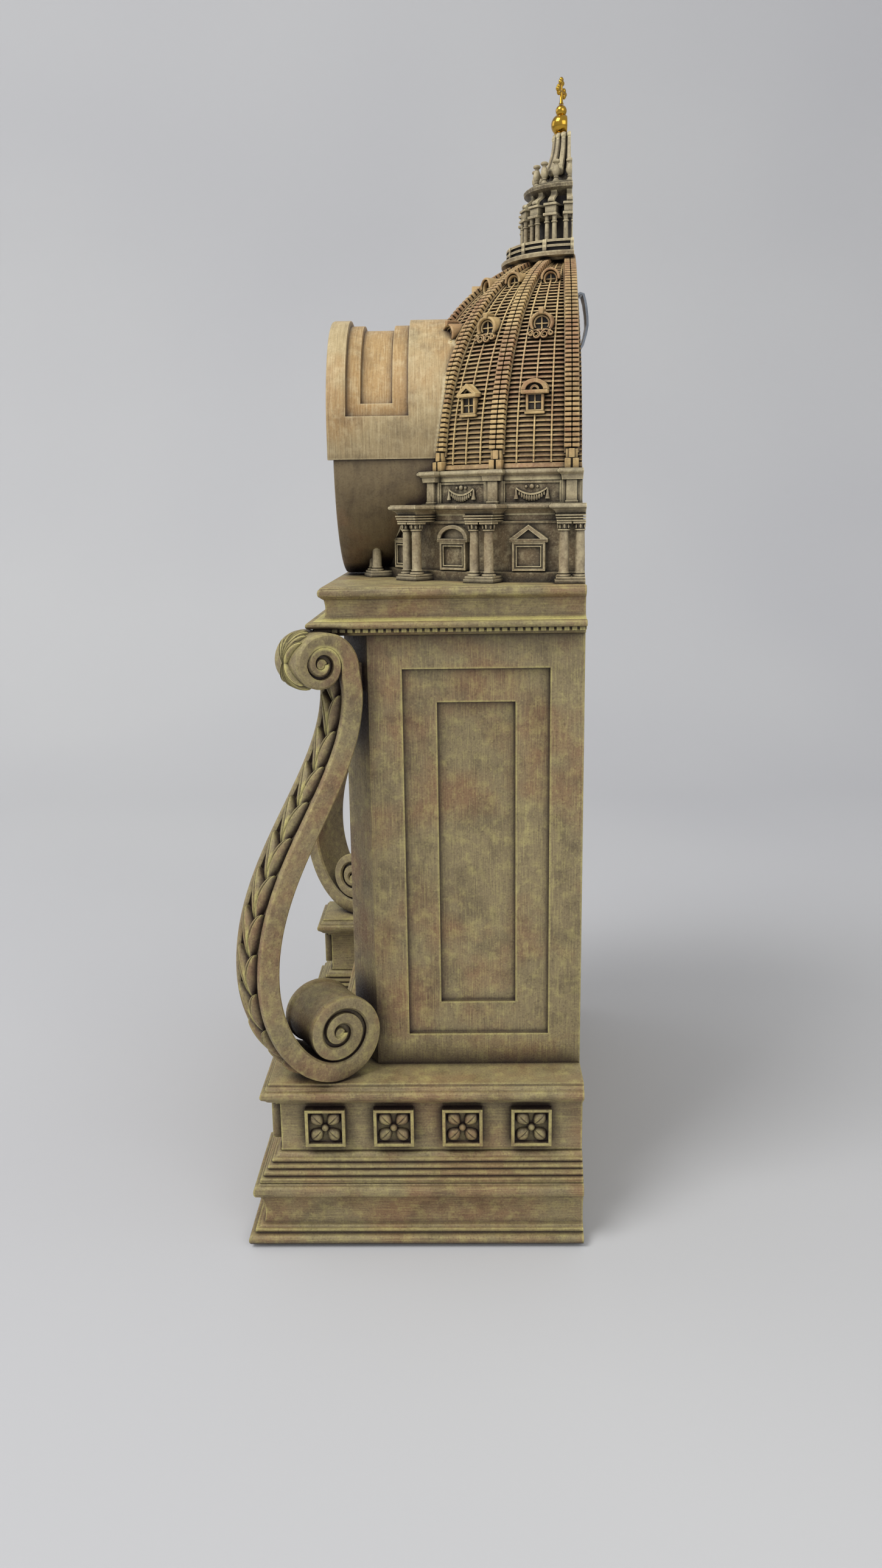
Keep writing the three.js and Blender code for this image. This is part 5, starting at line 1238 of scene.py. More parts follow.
def panes(half, low, high, front):
    """A dark opening with its cross bars, as two bodies in their own paints; the opening's dark paint stands also for
    the shade inside it.
    """
    middle = (low + high) / 2
    bars = merge(block(front - 1, front + 0.45, 0.2, low, high),
                 block(front - 1, front + 0.45, half, middle - 0.18, middle + 0.18))
    return dress(block(front - 1, front, half, low, high), "Recess paint"), dress(bars, "Rib paint")


def low_dormer(pointed):
    """A four-pane window under its hood, drawn facing +X round its own middle."""
    wide = 2.95
    body = block(-3, 2.0, wide, -3.9, 2.4)
    sink(body, (1, 0, 0), (0.75, 1.3))
    half = 4.0 if pointed else 4.5
    sill = soften(box(-3, 2.4, -wide - 0.4, wide + 0.4, -4.5, -3.7), 0.15, 1)
    hood = pediment(0, 1.9, 6.3 if pointed else 6.6, half, pointed, 2.9)
    arch = [(1.6 * cos(a), 3.1 + 1.6 * sin(a)) for a in np.linspace(pi, 0, 9)]
    core = [(0.9 * cos(a), 3.1 + 0.9 * sin(a)) for a in np.linspace(0, pi, 9)]
    # Dark paint under the arch, standing also for the shade there.
    dark = slab([(y * 0.9, z) for y, z in arch], 0.5, 1.1)
    shell = merge(soften(body, 0.12, 1), sill, hood, slab(arch + core, 0.5, 2.2))
    return merge(dress(shell, "Rib paint"), dress(dark, "Recess paint"), *panes(wide - 0.75, -3.2, 1.7, 0.95))


def scroll_coil(side, across, low, radius):
    """A small C-scroll facing +X: a tapering coil of one and a half turns."""
    rings = []
    for a in np.linspace(0, 3.2 * pi, 28):
        reach, thick = radius * (1 - 0.07 * a), 0.42 - 0.02 * a
        y, z = side * (across + reach * cos(a + pi / 2)), low + reach * sin(a + pi / 2)
        way = Vector((0, side * cos(a + pi / 2), sin(a + pi / 2)))
        rings.append([Vector((x - 0.62 * z, y, z)) + way * w for x, w in (
            (-1.5, -thick), (1.1, -thick * 0.7), (1.3, 0), (1.1, thick * 0.7), (-1.5, thick))])
    return sweep(rings)


def middle_dormer():
    """A horseshoe hood with its keystone round a dark window, and two facing scrolls below."""
    spans = np.linspace(-0.62, pi + 0.62, 25)
    rings = []
    for a in spans:
        rings.append([(x, r * cos(a), r * 0.92 * sin(a) - 0.2) for x, r in (
            (-4, 3.0), (1.7, 3.0), (2.2, 3.2), (2.35, 3.6), (2.0, 4.0), (-4, 4.3))])
    hood = sweep(rings)
    rings = [[(x, r * cos(a), r * 0.92 * sin(a) - 0.2) for x, r in ((-3, 2.2), (1.2, 2.25), (1.3, 2.7), (-3, 2.95))]
             for a in spans]
    inner = sweep(rings)
    # Dark paint behind the window, standing also for the shade inside it.
    back = slab([(2.6 * cos(a), 2.4 * sin(a) - 0.2) for a in np.linspace(0, 2 * pi, 25)[:-1]], -4, 0.35)
    bars = merge(block(0.1, 0.9, 0.2, -2.4, 2.2), block(0.1, 0.9, 2.4, -0.4, -0.05))
    key = soften(slab([(-0.65, 2.6), (0.65, 2.6), (0.9, 4.5), (-0.9, 4.5)], -2, 2.8), 0.2, 1)
    foot = block(-4, 2.4, 3.0, -2.75, -2.25, 0.15)
    coils = [scroll_coil(side, across, low, radius) for side in (-1, 1)
             for across, low, radius in ((1.35, -4.0, 1.3), (3.4, -3.5, 0.9))]
    shell = merge(hood, inner, bars, key, foot, *coils)
    return merge(dress(shell, "Rib paint"), dress(back, "Recess paint"))


def top_dormer():
    """A round eye with a cross bar under a small hood."""
    eye = turn([(1.75, -3), (1.75, 0.9), (1.95, 1.6), (2.3, 1.9), (2.6, 1.6), (2.65, -3)], 24, "Y")
    # Dark paint inside the eye, standing also for the shade there.
    floor = turn([(0, -3), (1.8, -3), (1.8, 0.3), (0, 0.3)], 16, "Y")
    for piece in (eye, floor):
        piece.data.transform(Matrix.Rotation(-pi / 2, 4, "Z"))
    spans = np.linspace(pi * 1.05, -pi * 0.05, 15)
    hood = slab([(3.3 * cos(a), 0.2 + 3.3 * sin(a)) for a in spans]
                + [(2.55 * cos(a), 0.2 + 2.55 * sin(a)) for a in spans[::-1]], -4, 2.5)
    bars = merge(block(0.1, 0.8, 0.18, -1.7, 1.7), block(0.1, 0.8, 1.7, -0.18, 0.18))
    shell = merge(eye, soften(hood, 0.2, 1), bars)
    return merge(dress(shell, "Rib paint"), dress(floor, "Recess paint"))


# Height of each row, its dormer, and how far it stands off the tiles
DORMERS = (285.6, low_dormer, 0.4), (311.0, middle_dormer, 1.2), (327.2, top_dormer, 1.2)


class CLOCK_OT_add_dome(bpy.types.Operator):
    """Model the tiled dome with its ribs and dormers"""
    bl_idname = "clock.add_dome"
    bl_label = "Dome"

    def execute(self, context):
        pitch = bpy.context.scene.clock_sizes.course
        shell = dome_shell(pitch)
        make_room(shell, back=-40, height=HOOD_AXIS - 3)
        beads, blocks = rib_beads(pitch)
        length = MERIDIAN[0][-1]
        bed = merge(*(meridian_bar(side, 1.15, -1.0, 1.25, 5, length, 48) for side in (-1.3, 1.3)))
        beds = repeat(twin(bed), [spun(a) for a in RIBS[1:3] + RIBS[5:7]])
        upper = trim(twin(bed), (0, 0, 315), (0, 0, -1))
        repeat(upper, [spun(PAIRS[3]), spun(PAIRS[4])])
        ends = trim(repeat(bed, [spun(PAIRS[0]), spun(PAIRS[-1])]), *BACK_CUT)
        batten = meridian_bar(0, 0.3, -0.6, 1.0, 2.2, length, 40)
        fans = [spun(a + side) for a in BAYS[:3] + BAYS[4:] for side in (-5.4, 0, 5.4)]
        repeat(batten, fans)
        dress(shell, "Roof paint")
        parts = [shell] + [
            dress(piece, "Rib paint" if piece in (beads, blocks, batten) else "Roof paint")
            for piece in (beads, blocks, beds, upper, ends, batten)]
        for index, angle in enumerate(BAYS):
            for height, model, lift in DORMERS:
                r, z = on_dome(walked_to(height))
                place = spun(angle) @ at(float(r) + lift, 0, height)
                if hypot(place.translation.x, place.translation.z - HOOD_AXIS) < HOOD - 3:
                    continue
                piece = model(index % 2 == 1) if model is low_dormer else model()
                piece.data.transform(place)
                parts.append(piece)
        whole = merge(*parts)
        seat(whole, "ribbed_dome", "case", "painted_resin_brown", None, "dome", smooth=32)
        return {"FINISHED"}


# Lantern


class CLOCK_OT_add_gallery(bpy.types.Operator):
    """Model the gallery and its rail"""
    bl_idname = "clock.add_gallery"
    bl_label = "Gallery"

    def execute(self, context):
        floor = stack(half_disc(48), [
            (LANTERN_FLOOR, 21.6), (LANTERN_FLOOR + 0.7, 22.2), (LANTERN_FLOOR + 0.8, 23.8),
            (LANTERN_FLOOR + 1.1, 24.5), (FLOOR_TOP - 0.4, 24.6), (FLOOR_TOP, 24.2)])
        rails = [turn([(RAIL - 0.9, z), (RAIL + 0.1, z), (RAIL + 0.1, z + 0.75), (RAIL - 0.9, z + 0.75)], 36, "Z",
                      (0, 0, 0), 180) for z in (RAIL_TOP - 0.75, RAIL_TOP - 2.45)]
        # A dark ring behind the rails, painted to stand also for the shade between the posts.
        back = turn([(RAIL - 1.3, FLOOR_TOP - 0.2), (RAIL - 0.8, FLOOR_TOP - 0.2), (RAIL - 0.8, RAIL_TOP - 0.3),
                     (RAIL - 1.3, RAIL_TOP - 0.3)], 36, "Z", (0, 0, 0), 180)
        post = block(RAIL - 1.2, RAIL + 0.35, 0.75, FLOOR_TOP - 0.2, RAIL_TOP + 0.1, 0.12)
        ends = cut_ends(post, angles=(1.0, 179.0))
        repeat(post, [spun(a) for a in PAIRS[1:-1]])
        whole = merge(dress(back, "Recess paint"),
                      *(dress(piece, "Column paint") for piece in (floor, *rails, post, ends)))
        seat(whole, "gallery_rail", "case", "painted_resin_grey", None, "lantern_gallery")
        return {"FINISHED"}


class CLOCK_OT_add_lantern(bpy.types.Operator):
    """Model the lantern's columns and brackets"""
    bl_idname = "clock.add_lantern"
    bl_label = "Lantern"

    def execute(self, context):
        foot, columns, blocks, bracket = FLOOR_TOP, 351.6, 355.6, 360.0
        # The core between the posts is painted dark, standing also for the shade between them.
        core = stack(half_disc(40), [(foot, 12.2), (foot + 1, 12.0), (bracket - 1.5, 12.0)])
        cornice = stack(half_disc(40), [
            (bracket - 1.6, 12.0), (bracket - 0.6, 13.4), (bracket + 0.2, 15.2), (bracket + 0.6, 16.2),
            (LANTERN_CORNICE - 0.4, 16.4), (LANTERN_CORNICE, 16.0)])
        bay = [column(foot, columns, 0.9, 17.0, 12) for _ in range(2)]
        for shaft, side in zip(bay, (-1.35, 1.35)):
            shaft.data.transform(at(0, side, 0))
        bay += [
            block(11, 18.4, 2.5, columns - 0.6, columns + 0.3, 0.15),
            block(11, 17.6, 2.0, columns + 0.2, blocks - 1.1, 0.12),
            block(11, 18.2, 2.4, blocks - 1.2, blocks - 0.4, 0.15)]
        arm = []
        for t in np.linspace(0, 1, 9):
            reach, height = 17.0 - 2.4 * t + 0.9 * sin(2 * pi * t), blocks - 0.6 + (bracket - blocks + 0.8) * t
            arm.append([(reach + x, y, height) for x, y in ((-1.6, -1.1), (0, -1.1), (0, 1.1), (-1.6, 1.1))])
        bay.append(soften(sweep(arm), 0.12, 1))
        bay.append(ball(0.95, (17.0, 0, blocks + 0.5), 10, 7, (1, 1.25, 1)))
        ends = cut_ends(*bay)
        one = merge(*bay)
        repeat(one, [spun(a) for a in PAIRS[1:-1]])
        whole = merge(dress(core, "Recess paint"), dress(cornice, "Temple paint"),
                      *(dress(piece, "Column paint") for piece in (one, ends)))
        seat(whole, "lantern_columns", "case", "painted_resin_grey", None, "lantern_storey")
        return {"FINISHED"}


class CLOCK_OT_add_spire(bpy.types.Operator):
    """Model the urns and the reeded spire"""
    bl_idname = "clock.add_spire"
    bl_label = "Spire"

    def execute(self, context):
        foot = LANTERN_CORNICE
        core = stack(half_disc(40), [
            (foot, 14.9), (foot + 0.7, 14.9), (foot + 0.8, 9.6), (foot + 2, 8.6), (foot + 5.5, 7.6),
            *hollow(foot + 6.5, SPIRE_TOP - 2.2, 6.6, 4.0, 0.7, 8), (SPIRE_TOP - 1.6, 4.4), (SPIRE_TOP, 4.6)])
        urn = turn([(0, 0), (1.5, 0), (1.5, 0.5), (1.1, 1.1), (0.75, 1.7), (0.95, 2.1), (0.8, 2.4), (1.35, 3.6),
                    (1.45, 4.4), (1.1, 5.8), (0.75, 6.6), (0.85, 6.9), (1.4, 7.3), (1.45, 7.8), (1.1, 8.2),
                    (0, 8.2)], 16)
        urn.data.transform(at(URN_RING, 0, foot + 0.6) @ Matrix.Scale(0.93, 4))
        urn_ends = cut_ends(urn)
        repeat(urn, [spun(a) for a in PAIRS[1:-1]])
        rings = []
        for t in np.linspace(0, 1, 12):
            reach = 8.6 - 3.3 * t - 0.9 * sin(pi * t)
            wide = 1.25 - 0.4 * t
            rings.append([(reach + wide * cos(a), wide * sin(a), foot + 5.6 + (SPIRE_TOP - foot - 6.2) * t)
                          for a in np.linspace(0, 2 * pi, 9)[:-1]])
        parts = sweep(rings), ball(1.15, (5.3, 0, SPIRE_TOP - 0.9), 10, 7), ball(1.5, (8.5, 0, foot + 5.4), 10, 7)
        reed_ends = cut_ends(*parts)
        reed = merge(*parts)
        repeat(reed, [spun(a) for a in PAIRS[1:-1]])
        whole = merge(dress(core, "Temple paint"),
                      *(dress(piece, "Column paint") for piece in (urn, urn_ends, reed, reed_ends)))
        seat(whole, "reeded_spire", "case", "painted_resin_grey", None, "lantern_spire")
        return {"FINISHED"}


class CLOCK_OT_add_finial(bpy.types.Operator):
    """Model the gilt ball and cross"""
    bl_idname = "clock.add_finial"
    bl_label = "Finial"

    def execute(self, context):
        middle = SPIRE_TOP + ORB
        knop_low, knop_high = KNOP_HEIGHT - KNOP, KNOP_HEIGHT + KNOP
        orb = [(0, SPIRE_TOP), (2.4, SPIRE_TOP), (2.5, SPIRE_TOP + 0.6), (2.1, SPIRE_TOP + 0.9)]
        orb += [(ORB * cos(a), middle + ORB * sin(a)) for a in np.linspace(-0.85, 1.25, 14)]
        orb += [(0.9, knop_low - 0.05), (1.1, knop_low + 0.2)]
        orb += [(KNOP * cos(a), KNOP_HEIGHT + KNOP * sin(a)) for a in np.linspace(-0.95, 1.5, 12)] + [(0, knop_high)]
        body = turn(orb, 40, "Z")
        body.data.transform(at(0, FINIAL_Y, 0))
        trim(body, (0, -1.0, 0), (0, 1, 0))
        gilt = metal("Gilt brass", context.scene.clock_colours.gilt, 0.16, (500, 500, 500), 0.1)
        seat(body, "gilt_orb", "case", "gilt_brass", gilt, "finial_orb", smooth=50)
        arm_height = CROSS_TOP - 4.8
        stem = turn([(0, knop_high + 0.15), (0.95, knop_high + 0.2), (0.6, knop_high + 0.9), (0.5, arm_height),
                     (0.45, CROSS_TOP - 2.4), (0, CROSS_TOP - 2.4)], 14)
        bar = turn([(0, -3.1), (0.5, -3.1), (0.42, 0), (0.5, 3.1), (0, 3.1)], 14, "Y")
        bar.data.transform(at(0, 0, arm_height) @ Matrix.Rotation(pi / 2, 4, "Z"))
        bead = ball(0.95, (0, 0, 0), 12, 8, (1, 0.8, 1))
        places = []
        for x, z, way in ((0, CROSS_TOP - 1.75, 0), (2.9, arm_height, -pi / 2), (-2.9, arm_height, pi / 2)):
            for u, v in ((0, 0.75), (-0.9, -0.2), (0.9, -0.2)):
                places.append(at(x + u * cos(way) - v * sin(way), 0, z + u * sin(way) + v * cos(way)))
        repeat(bead, places)
        rays = repeat(ball(0.4, (0, 0, 0), 8, 6), [at(x, 0, arm_height + z) for x in (-1, 1) for z in (-1, 1)])
        cross = merge(stem, bar, bead, rays)
        cross.data.transform(at(0, FINIAL_Y, 0) @ Matrix.Rotation(radians(CROSS_TURN), 4, "Z"))
        seat(cross, "gilt_cross", "case", "gilt_brass", gilt, "finial_cross", smooth=50)
        return {"FINISHED"}


# Clock case and insert


def case_section(x, z, out, front, panels=(0, 0)):
    """Cross-section of the case at one place round it: the skin with its sunk panels, then the stepped bore."""
    one = 1.9 * panels[0]
    two = one + 1.7 * panels[1]
    skin = [(front, 0.9), (front + 0.25, 0.3), (front + 0.9, 0), (-80.1, 0), (-79.9, one), (-75.0, one), (-74.7, two),
            (-64.0, two), (-63.7, one), (-58.3, one), (-58.1, 0), (DRUM_BACK - 0.6, 0), (DRUM_BACK, 0.6)]
    bore = [(DRUM_BACK, 0.6), (BORE_END, 0.6), (BORE_END, BORE), (DRUM_FRONT + SEAT_DEPTH, BORE),
            (DRUM_FRONT + SEAT_DEPTH, SEAT), (front, SEAT)]
    aim = Vector((x, z - AXIS)).normalized()
    return ([(x - out[0] * d, y, z - out[1] * d) for y, d in skin]
            + [(aim[0] * r, y, AXIS + aim[1] * r) for y, r in bore])


class CLOCK_OT_add_case(bpy.types.Operator):
    """Model the drum and its panelled hood"""
    bl_idname = "clock.add_case"
    bl_label = "Clock case"

    def execute(self, context):
        marks = [(a, (0, 0)) for a in (0, 3.5, 7.4)] + [(a, (1, 0)) for a in (7.7, 11, 14.1)]
        marks += [(a, (1, 1)) for a in np.linspace(14.4, 90, 20)]
        marks += [(180 - a, panels) for a, panels in marks[-2::-1]]
        cheek = [(z, (0, 0)) for z in np.linspace(AXIS, HOOD_AXIS - 2, 4)]
        rings = [case_section(HOOD, z, (1, 0), HOOD_FRONT) for z, _ in cheek]
        for a, panels in marks:
            way = (cos(radians(a)), sin(radians(a)))
            rings.append(case_section(HOOD * way[0], HOOD_AXIS + HOOD * way[1], way, HOOD_FRONT, panels))
        rings += [case_section(-HOOD, z, (-1, 0), HOOD_FRONT) for z, _ in reversed(cheek)]
        hood = sweep(rings)
        rings = []
        for a in np.linspace(180.02, 359.98, 60):
            way = (cos(radians(a)), sin(radians(a)))
            rings.append(case_section(DRUM * way[0], AXIS + DRUM * way[1], way, DRUM_FRONT))
        drum = sweep(rings)
        soften(face_outward(hood), 0.35, 2, 40)
        whole = merge(hood, drum)
        dress(whole, "Hood paint", "Drum paint", "Hood panel paint")
        seat(whole, "clock_case", "case", "painted_resin_tan", None, "clock_drum_hood", smooth=32)
        for face in whole.data.polygons:
            x, y, z = face.center.x * 1000, (face.center.y - BACK) * 1000, face.center.z * 1000
            sunk = z > HOOD_AXIS and -79.95 < y < -58.2 and BORE + 2 < hypot(x, z - HOOD_AXIS) < HOOD - 1.2
            # Faces below the axis take the drum paint, whose darker ground is painted shade under the hood.
            face.material_index = 1 if z < AXIS - 0.1 else 2 if sunk else 0
        return {"FINISHED"}


def disc_ring(section, steps=96):
    """A turned ring of the insert: reach, and depth back from the drum's front."""
    return turn([(reach, DRUM_FRONT + depth) for reach, depth in section], steps, "Y", (0, 0, AXIS))


class CLOCK_OT_add_insert(bpy.types.Operator):
    """Turn the bezel ring and the lens"""
    bl_idname = "clock.add_insert"
    bl_label = "Bezel and lens"

    def execute(self, context):
        brass = metal("Brushed brass", bpy.context.scene.clock_colours.brass, 0.2, (60, 900, 60), 0.12)
        seat(disc_ring([(32.6, 4.6), (37, 4.6), (37, 2.4), (36.7, 1.6), (36.0, 0.95), (35.0, 0.65), (34.0, 0.7),
                        (33.4, 1.1), (32.8, 1.15), (32.4, 0.85), (31.8, 0.9), (31.1, 1.3), (30.8, 1.8), (32.6, 1.8)]),
             "bezel_ring", "insert", "bezel_brass", brass, "insert_bezel")
        lens = disc_ring([(0, 2.1), (31.4, 2.1), (32.25, 2.3), (32.3, 3.5), (31.9, 3.6), (0, 3.6)])
        seat(lens, "lens_disc", "insert", "clear_lens", clear_glass(), "insert_lens")
        return {"FINISHED"}


class CLOCK_OT_add_dial(bpy.types.Operator):
    """Model the dial card and its print"""
    bl_idname = "clock.add_dial"
    bl_label = "Dial"

    def execute(self, context):
        tone = bpy.context.scene.clock_colours
        face = disc_ring([(2.4, 8.8), (31.2, 8.8), (31.4, 8.95), (31.4, 9.6), (2.4, 9.6)])
        material, tree, surface, place = shader("Dial card", 0.0, 0.55)
        grain = noise(tree, place, 1500, 3)
        age = noise(tree, place, 70, 4)
        warm = tuple(c * k for c, k in zip(tone.dial, (0.93, 0.87, 0.74)))
        cover(tree, surface, blend(tree, spread(tree, age, 0.45, 0.75, 0, 0.7), (*tone.dial, 1), (*warm, 1)),
              spread(tree, grain, 0.3, 0.7, 0.48, 0.62), grain, 0.2, 0.0001)
        seat(face, "dial_face", "insert", "dial_card", material, "dial")
        parts = []
        for hour, word in enumerate(("XII", "I", "II", "III", "IV", "V", "VI", "VII", "VIII", "IX", "X", "XI")):
            pick()
            bpy.ops.object.text_add()
            text = bpy.context.object
            text.data.body, text.data.size, text.data.extrude = word, NUMERAL_SIZE, 0.03
            text.data.align_x = text.data.align_y = "CENTER"
            text.data.space_character = 0.95
            bpy.ops.object.convert(target="MESH")
            text = bpy.context.object
            turn_by = Matrix.Rotation(-radians(hour * 30), 4, "Z")
            text.data.transform(
                at(0, DRUM_FRONT + 8.75, AXIS) @ Matrix.Rotation(pi / 2, 4, "X") @ turn_by
                @ at(0, NUMERAL_RING, 0) @ Matrix.Diagonal((0.8, 1, 1, 1)))
            parts.append(text)
        tick = box(-0.13, 0.13, DRUM_FRONT + 8.72, DRUM_FRONT + 8.8, 27.6, 29.4)
        mark = box(-0.3, 0.3, DRUM_FRONT + 8.72, DRUM_FRONT + 8.8, 27.3, 29.4)
        around = [at(0, 0, AXIS) @ Matrix.Rotation(radians(6 * i), 4, "Y") for i in range(60)]
        parts.append(repeat(tick, [m for i, m in enumerate(around) if i % 5]))
        parts.append(repeat(mark, around[::5]))
        for reach in TRACK:
            parts.append(disc_ring([(reach, 8.73), (reach + 0.16, 8.73), (reach + 0.16, 8.8), (reach, 8.8)], 96))
        seat(merge(*parts), "dial_print", "insert", "dial_card", moulded_plastic("Dial ink", tone.ink, 0.6))
        return {"FINISHED"}


def hand(length, tail, width, depth, hub):
    """A leaf-shaped hand pointing up, with its hub."""
    half = [(0.34, -tail), (0.3, 0), (0.24, 0.46 * length), (0.62, 0.56 * length), (0.74, 0.66 * length),
            (0.5, 0.78 * length), (0.18, 0.84 * length), (0.12, 0.93 * length)]
    outline = [(x * width, z) for x, z in half] + [(0, length)] + [(-x * width, z) for x, z in reversed(half)]
    front, back = DRUM_FRONT + depth, DRUM_FRONT + depth + 0.5
    leaf_body = sweep([[(x, y, AXIS + z) for x, z in outline] for y in (front, back)])
    soften(leaf_body, 0.12, 2, 40)
    boss = disc_ring([(0, depth - 0.25), (hub * 0.7, depth - 0.25), (hub, depth), (hub, depth + 0.5),
                      (0, depth + 0.5)], 32)
    return leaf_body, boss


class CLOCK_OT_add_hands(bpy.types.Operator):
    """Model the hour and minute hands"""
    bl_idname = "clock.add_hands"
    bl_label = "Hands"

    def execute(self, context):
        tone = bpy.context.scene.clock_colours
        black = metal("Blued hands", tone.ink, 0.35, (900, 900, 900), 0.05)
        for name, body, node_name, length, tail, width, depth, hub, tube in (
            ("hour_hand_leaf", "hour", "hour_hand", 17, 4, 3.4, 7.2, 3.0, (2.05, 11.75)),
            ("minute_hand_leaf", "minute", "minute_hand", 25, 5, 2.8, 6.1, 2.4, (1.25, 13.0)),
        ):
            stem = disc_ring([(0.5, depth), (tube[0], depth), (tube[0], tube[1]), (0.5, tube[1])], 24)
            whole = merge(*hand(length, tail, width, depth, hub), stem)
            seat(whole, name, body, "hand_black", black, node_name, smooth=30)
        return {"FINISHED"}


# Paint of each solid that keeps its shape: its label, plastic or metal, its tone as eyes see it, its roughness
WHEEL_PLASTIC = "Wheel plastic", "plastic", (226, 220, 204), 0.5
MOVEMENT_PLASTIC = "Movement plastic", "plastic", (38, 39, 42), 0.5
CARRIED = {
    "second_hand_wheel": ("Blued hands", "metal", (20, 19, 18), 0.35),
    "hour_wheel": WHEEL_PLASTIC,
    "cannon_pinion": WHEEL_PLASTIC,
    "minute_wheel": WHEEL_PLASTIC,
    "movement_case": MOVEMENT_PLASTIC,
    "movement_lid": MOVEMENT_PLASTIC,
    "battery_cap": MOVEMENT_PLASTIC,
    "setting_knob": MOVEMENT_PLASTIC,
    "circuit_board": ("Circuit board", "plastic", (38, 92, 58), 0.4),
    "drive_coil": ("Copper winding", "metal", (188, 102, 58), 0.35),
    "battery": ("Cell steel", "metal", (190, 192, 196), 0.25),
    "battery_contact": ("Contact brass", "metal", (205, 180, 108), 0.3),
    "insert_cup": ("Cup steel", "metal", (150, 152, 154), 0.35),
    "insert_gasket": ("Gasket rubber", "plastic", (28, 28, 28), 0.8),
    "wall_hanger": ("Hanger steel", "metal", (128, 134, 142), 0.35),
}


class CLOCK_OT_paint_solids(bpy.types.Operator):
    """Paint the solids that keep their shape"""
    bl_idname = "clock.paint_solids"
    bl_label = "Movement and fittings"

    def execute(self, context):
        for name, (label, kind, tone, rough) in CARRIED.items():
            make = metal if kind == "metal" else moulded_plastic
            grain = ((30, 30, 1500),) if label == "Copper winding" else ()
            dress(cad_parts[name], make(label, colour(*tone), rough, *grain))
        return {"FINISHED"}


# Floor, backdrop, lights and camera; the camera's place and angles were solved from the photograph

CAMERA_PLACE, CAMERA_ANGLES, CAMERA_LENS = (0.46859, -0.03968, 0.25225), (1.21, -13.29, -0.83), 1942.53 / 2576 * 36


class CLOCK_OT_add_stage(bpy.types.Operator):
    """Add the backdrop, the lights and the camera"""
    bl_idname = "clock.add_stage"
    bl_label = "Stage"

    def execute(self, context):
        plan = [(x, 0.0) for x in np.linspace(3.0, -0.55, 12)]
        plan += [(-0.55 - 0.6 * sin(a), 0.6 - 0.6 * cos(a)) for a in np.linspace(0.05, pi / 2, 24)]
        plan += [(-1.15, z) for z in np.linspace(0.7, 2.6, 6)]
        pick()
        bpy.ops.mesh.primitive_grid_add(x_subdivisions=1, y_subdivisions=len(plan) - 1, size=1)
        cloth = bpy.context.object
        last = len(plan) - 1

        def rule(place):
            x, z = plan[round((place.y + 0.5) * last)]
            return Vector((x, -place.x * 6, z))

        bend(cloth, rule)
        pick(cloth)
        bpy.ops.object.shade_smooth()
        cloth.name = cloth.data.name = "backdrop_sheet"
        material, tree, surface, place = shader("Backdrop paper", 0.0, 0.9)
        cloud = spread(tree, noise(tree, place, 1.6, 2), 0.35, 0.7)
        cover(tree, surface, blend(tree, cloud, (*colour(206, 206, 206), 1), (*colour(198, 198, 200), 1)), None,
              noise(tree, place, 400, 3), 0.05, 0.0005)
        cloth.data.materials.append(material)
        for name, place, size, power, aim in (
            ("key_softbox", (0.65, -0.8, 1.5), 0.8, 15.5, (0, 0, 0.2)),
            ("fill_softbox", (1.3, 0.75, 0.8), 1.0, 5.5, (0, 0, 0.2)),
            ("front_softbox", (-0.5, -1.5, 0.9), 0.9, 3.0, (0, 0, 0.2)),
        ):
            bpy.ops.object.light_add(type="AREA", location=place)
            lamp = bpy.context.object
            lamp.name = name
            lamp.data.size, lamp.data.energy = size, power
            lamp.rotation_euler = (Vector(aim) - Vector(place)).to_track_quat("-Z", "Y").to_euler()
        world = bpy.data.worlds.new("Studio")
        bpy.context.scene.world = world
        world.use_nodes = True
        sky = world.node_tree.nodes["Background"]
        sky.inputs["Color"].default_value = (*colour(236, 237, 240), 1)
        sky.inputs["Strength"].default_value = 0.62
        bpy.context.scene.view_settings.view_transform = "Standard"
        bpy.ops.object.camera_add()
        camera = bpy.context.object
        camera.name = camera.data.name = "Camera"
        camera.data.sensor_width, camera.data.lens = 36.0, CAMERA_LENS
        camera.data.clip_start, camera.data.clip_end = 0.01, 20
        turned, tipped, rolled = (radians(angle) for angle in CAMERA_ANGLES)
        right, up, back = Vector((0, 1, 0)), Vector((0, 0, 1)), Vector((1, 0, 0))
        yaw = Matrix.Rotation(turned, 3, "Z")
        right, back = yaw @ right, yaw @ back
        pitch = Matrix.Rotation(tipped, 3, right)
        up, back = pitch @ up, pitch @ back
        level = Matrix.Rotation(rolled, 3, back)
        right, up = level @ right, level @ up
        pose = Matrix((right, up, back)).transposed().to_4x4()
        pose.translation = Vector(CAMERA_PLACE) + Vector((0, BACK, 0))
        camera.matrix_world = pose
        bpy.context.scene.camera = camera
        return {"FINISHED"}


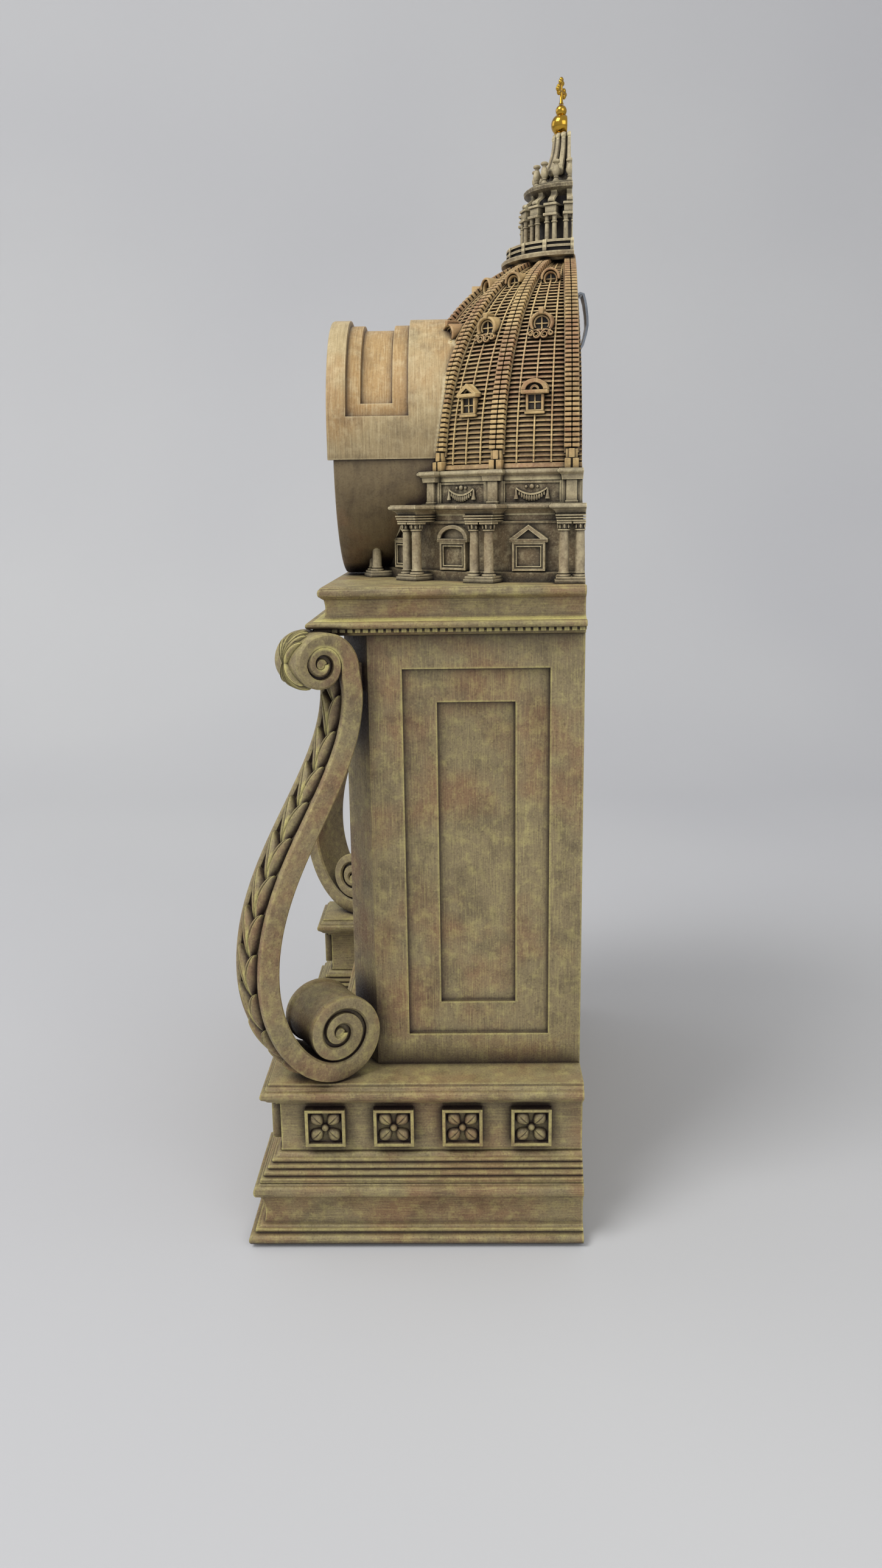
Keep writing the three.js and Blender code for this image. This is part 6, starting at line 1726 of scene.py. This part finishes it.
OPERATORS = (
    CLOCK_OT_add_stage,
    CLOCK_OT_add_feet,
    CLOCK_OT_add_base,
    CLOCK_OT_add_tiles,
    CLOCK_OT_add_pedestal,
    CLOCK_OT_add_cornice,
    CLOCK_OT_add_scrolls,
    CLOCK_OT_add_temple,
    CLOCK_OT_add_attic,
    CLOCK_OT_add_dome,
    CLOCK_OT_add_gallery,
    CLOCK_OT_add_lantern,
    CLOCK_OT_add_spire,
    CLOCK_OT_add_finial,
    CLOCK_OT_add_case,
    CLOCK_OT_add_insert,
    CLOCK_OT_add_dial,
    CLOCK_OT_add_hands,
    CLOCK_OT_paint_solids,
)


class CLOCK_PT_build(bpy.types.Panel):
    """Lists the steps that build the clock"""
    bl_label = "Domed clock"
    bl_idname = "CLOCK_PT_build"
    bl_space_type = "VIEW_3D"
    bl_region_type = "UI"
    bl_category = "Clock"

    def draw(self, context):
        for group in (context.scene.clock_sizes, context.scene.clock_colours):
            for key in group.__annotations__:
                self.layout.prop(group, key)
        for made in OPERATORS:
            self.layout.operator(made.bl_idname)


CLASSES = (ClockColours, ClockSizes, *OPERATORS, CLOCK_PT_build)


def register():
    """Makes the settings, the steps and the panel known to Blender."""
    for made in CLASSES:
        bpy.utils.register_class(made)
    bpy.types.Scene.clock_colours = bpy.props.PointerProperty(type=ClockColours)
    bpy.types.Scene.clock_sizes = bpy.props.PointerProperty(type=ClockSizes)


def unregister():
    """Takes them out again."""
    del bpy.types.Scene.clock_sizes
    del bpy.types.Scene.clock_colours
    for made in reversed(CLASSES):
        bpy.utils.unregister_class(made)


def main():
    """Builds the whole clock, step by step."""
    register()
    steps = bpy.ops.clock
    steps.add_stage()
    steps.add_feet()
    steps.add_base()
    steps.add_tiles()
    steps.add_pedestal()
    steps.add_cornice()
    steps.add_scrolls()
    steps.add_temple()
    steps.add_attic()
    steps.add_dome()
    steps.add_gallery()
    steps.add_lantern()
    steps.add_spire()
    steps.add_finial()
    steps.add_case()
    steps.add_insert()
    steps.add_dial()
    steps.add_hands()
    steps.paint_solids()


if __name__ == "__main__":
    main()
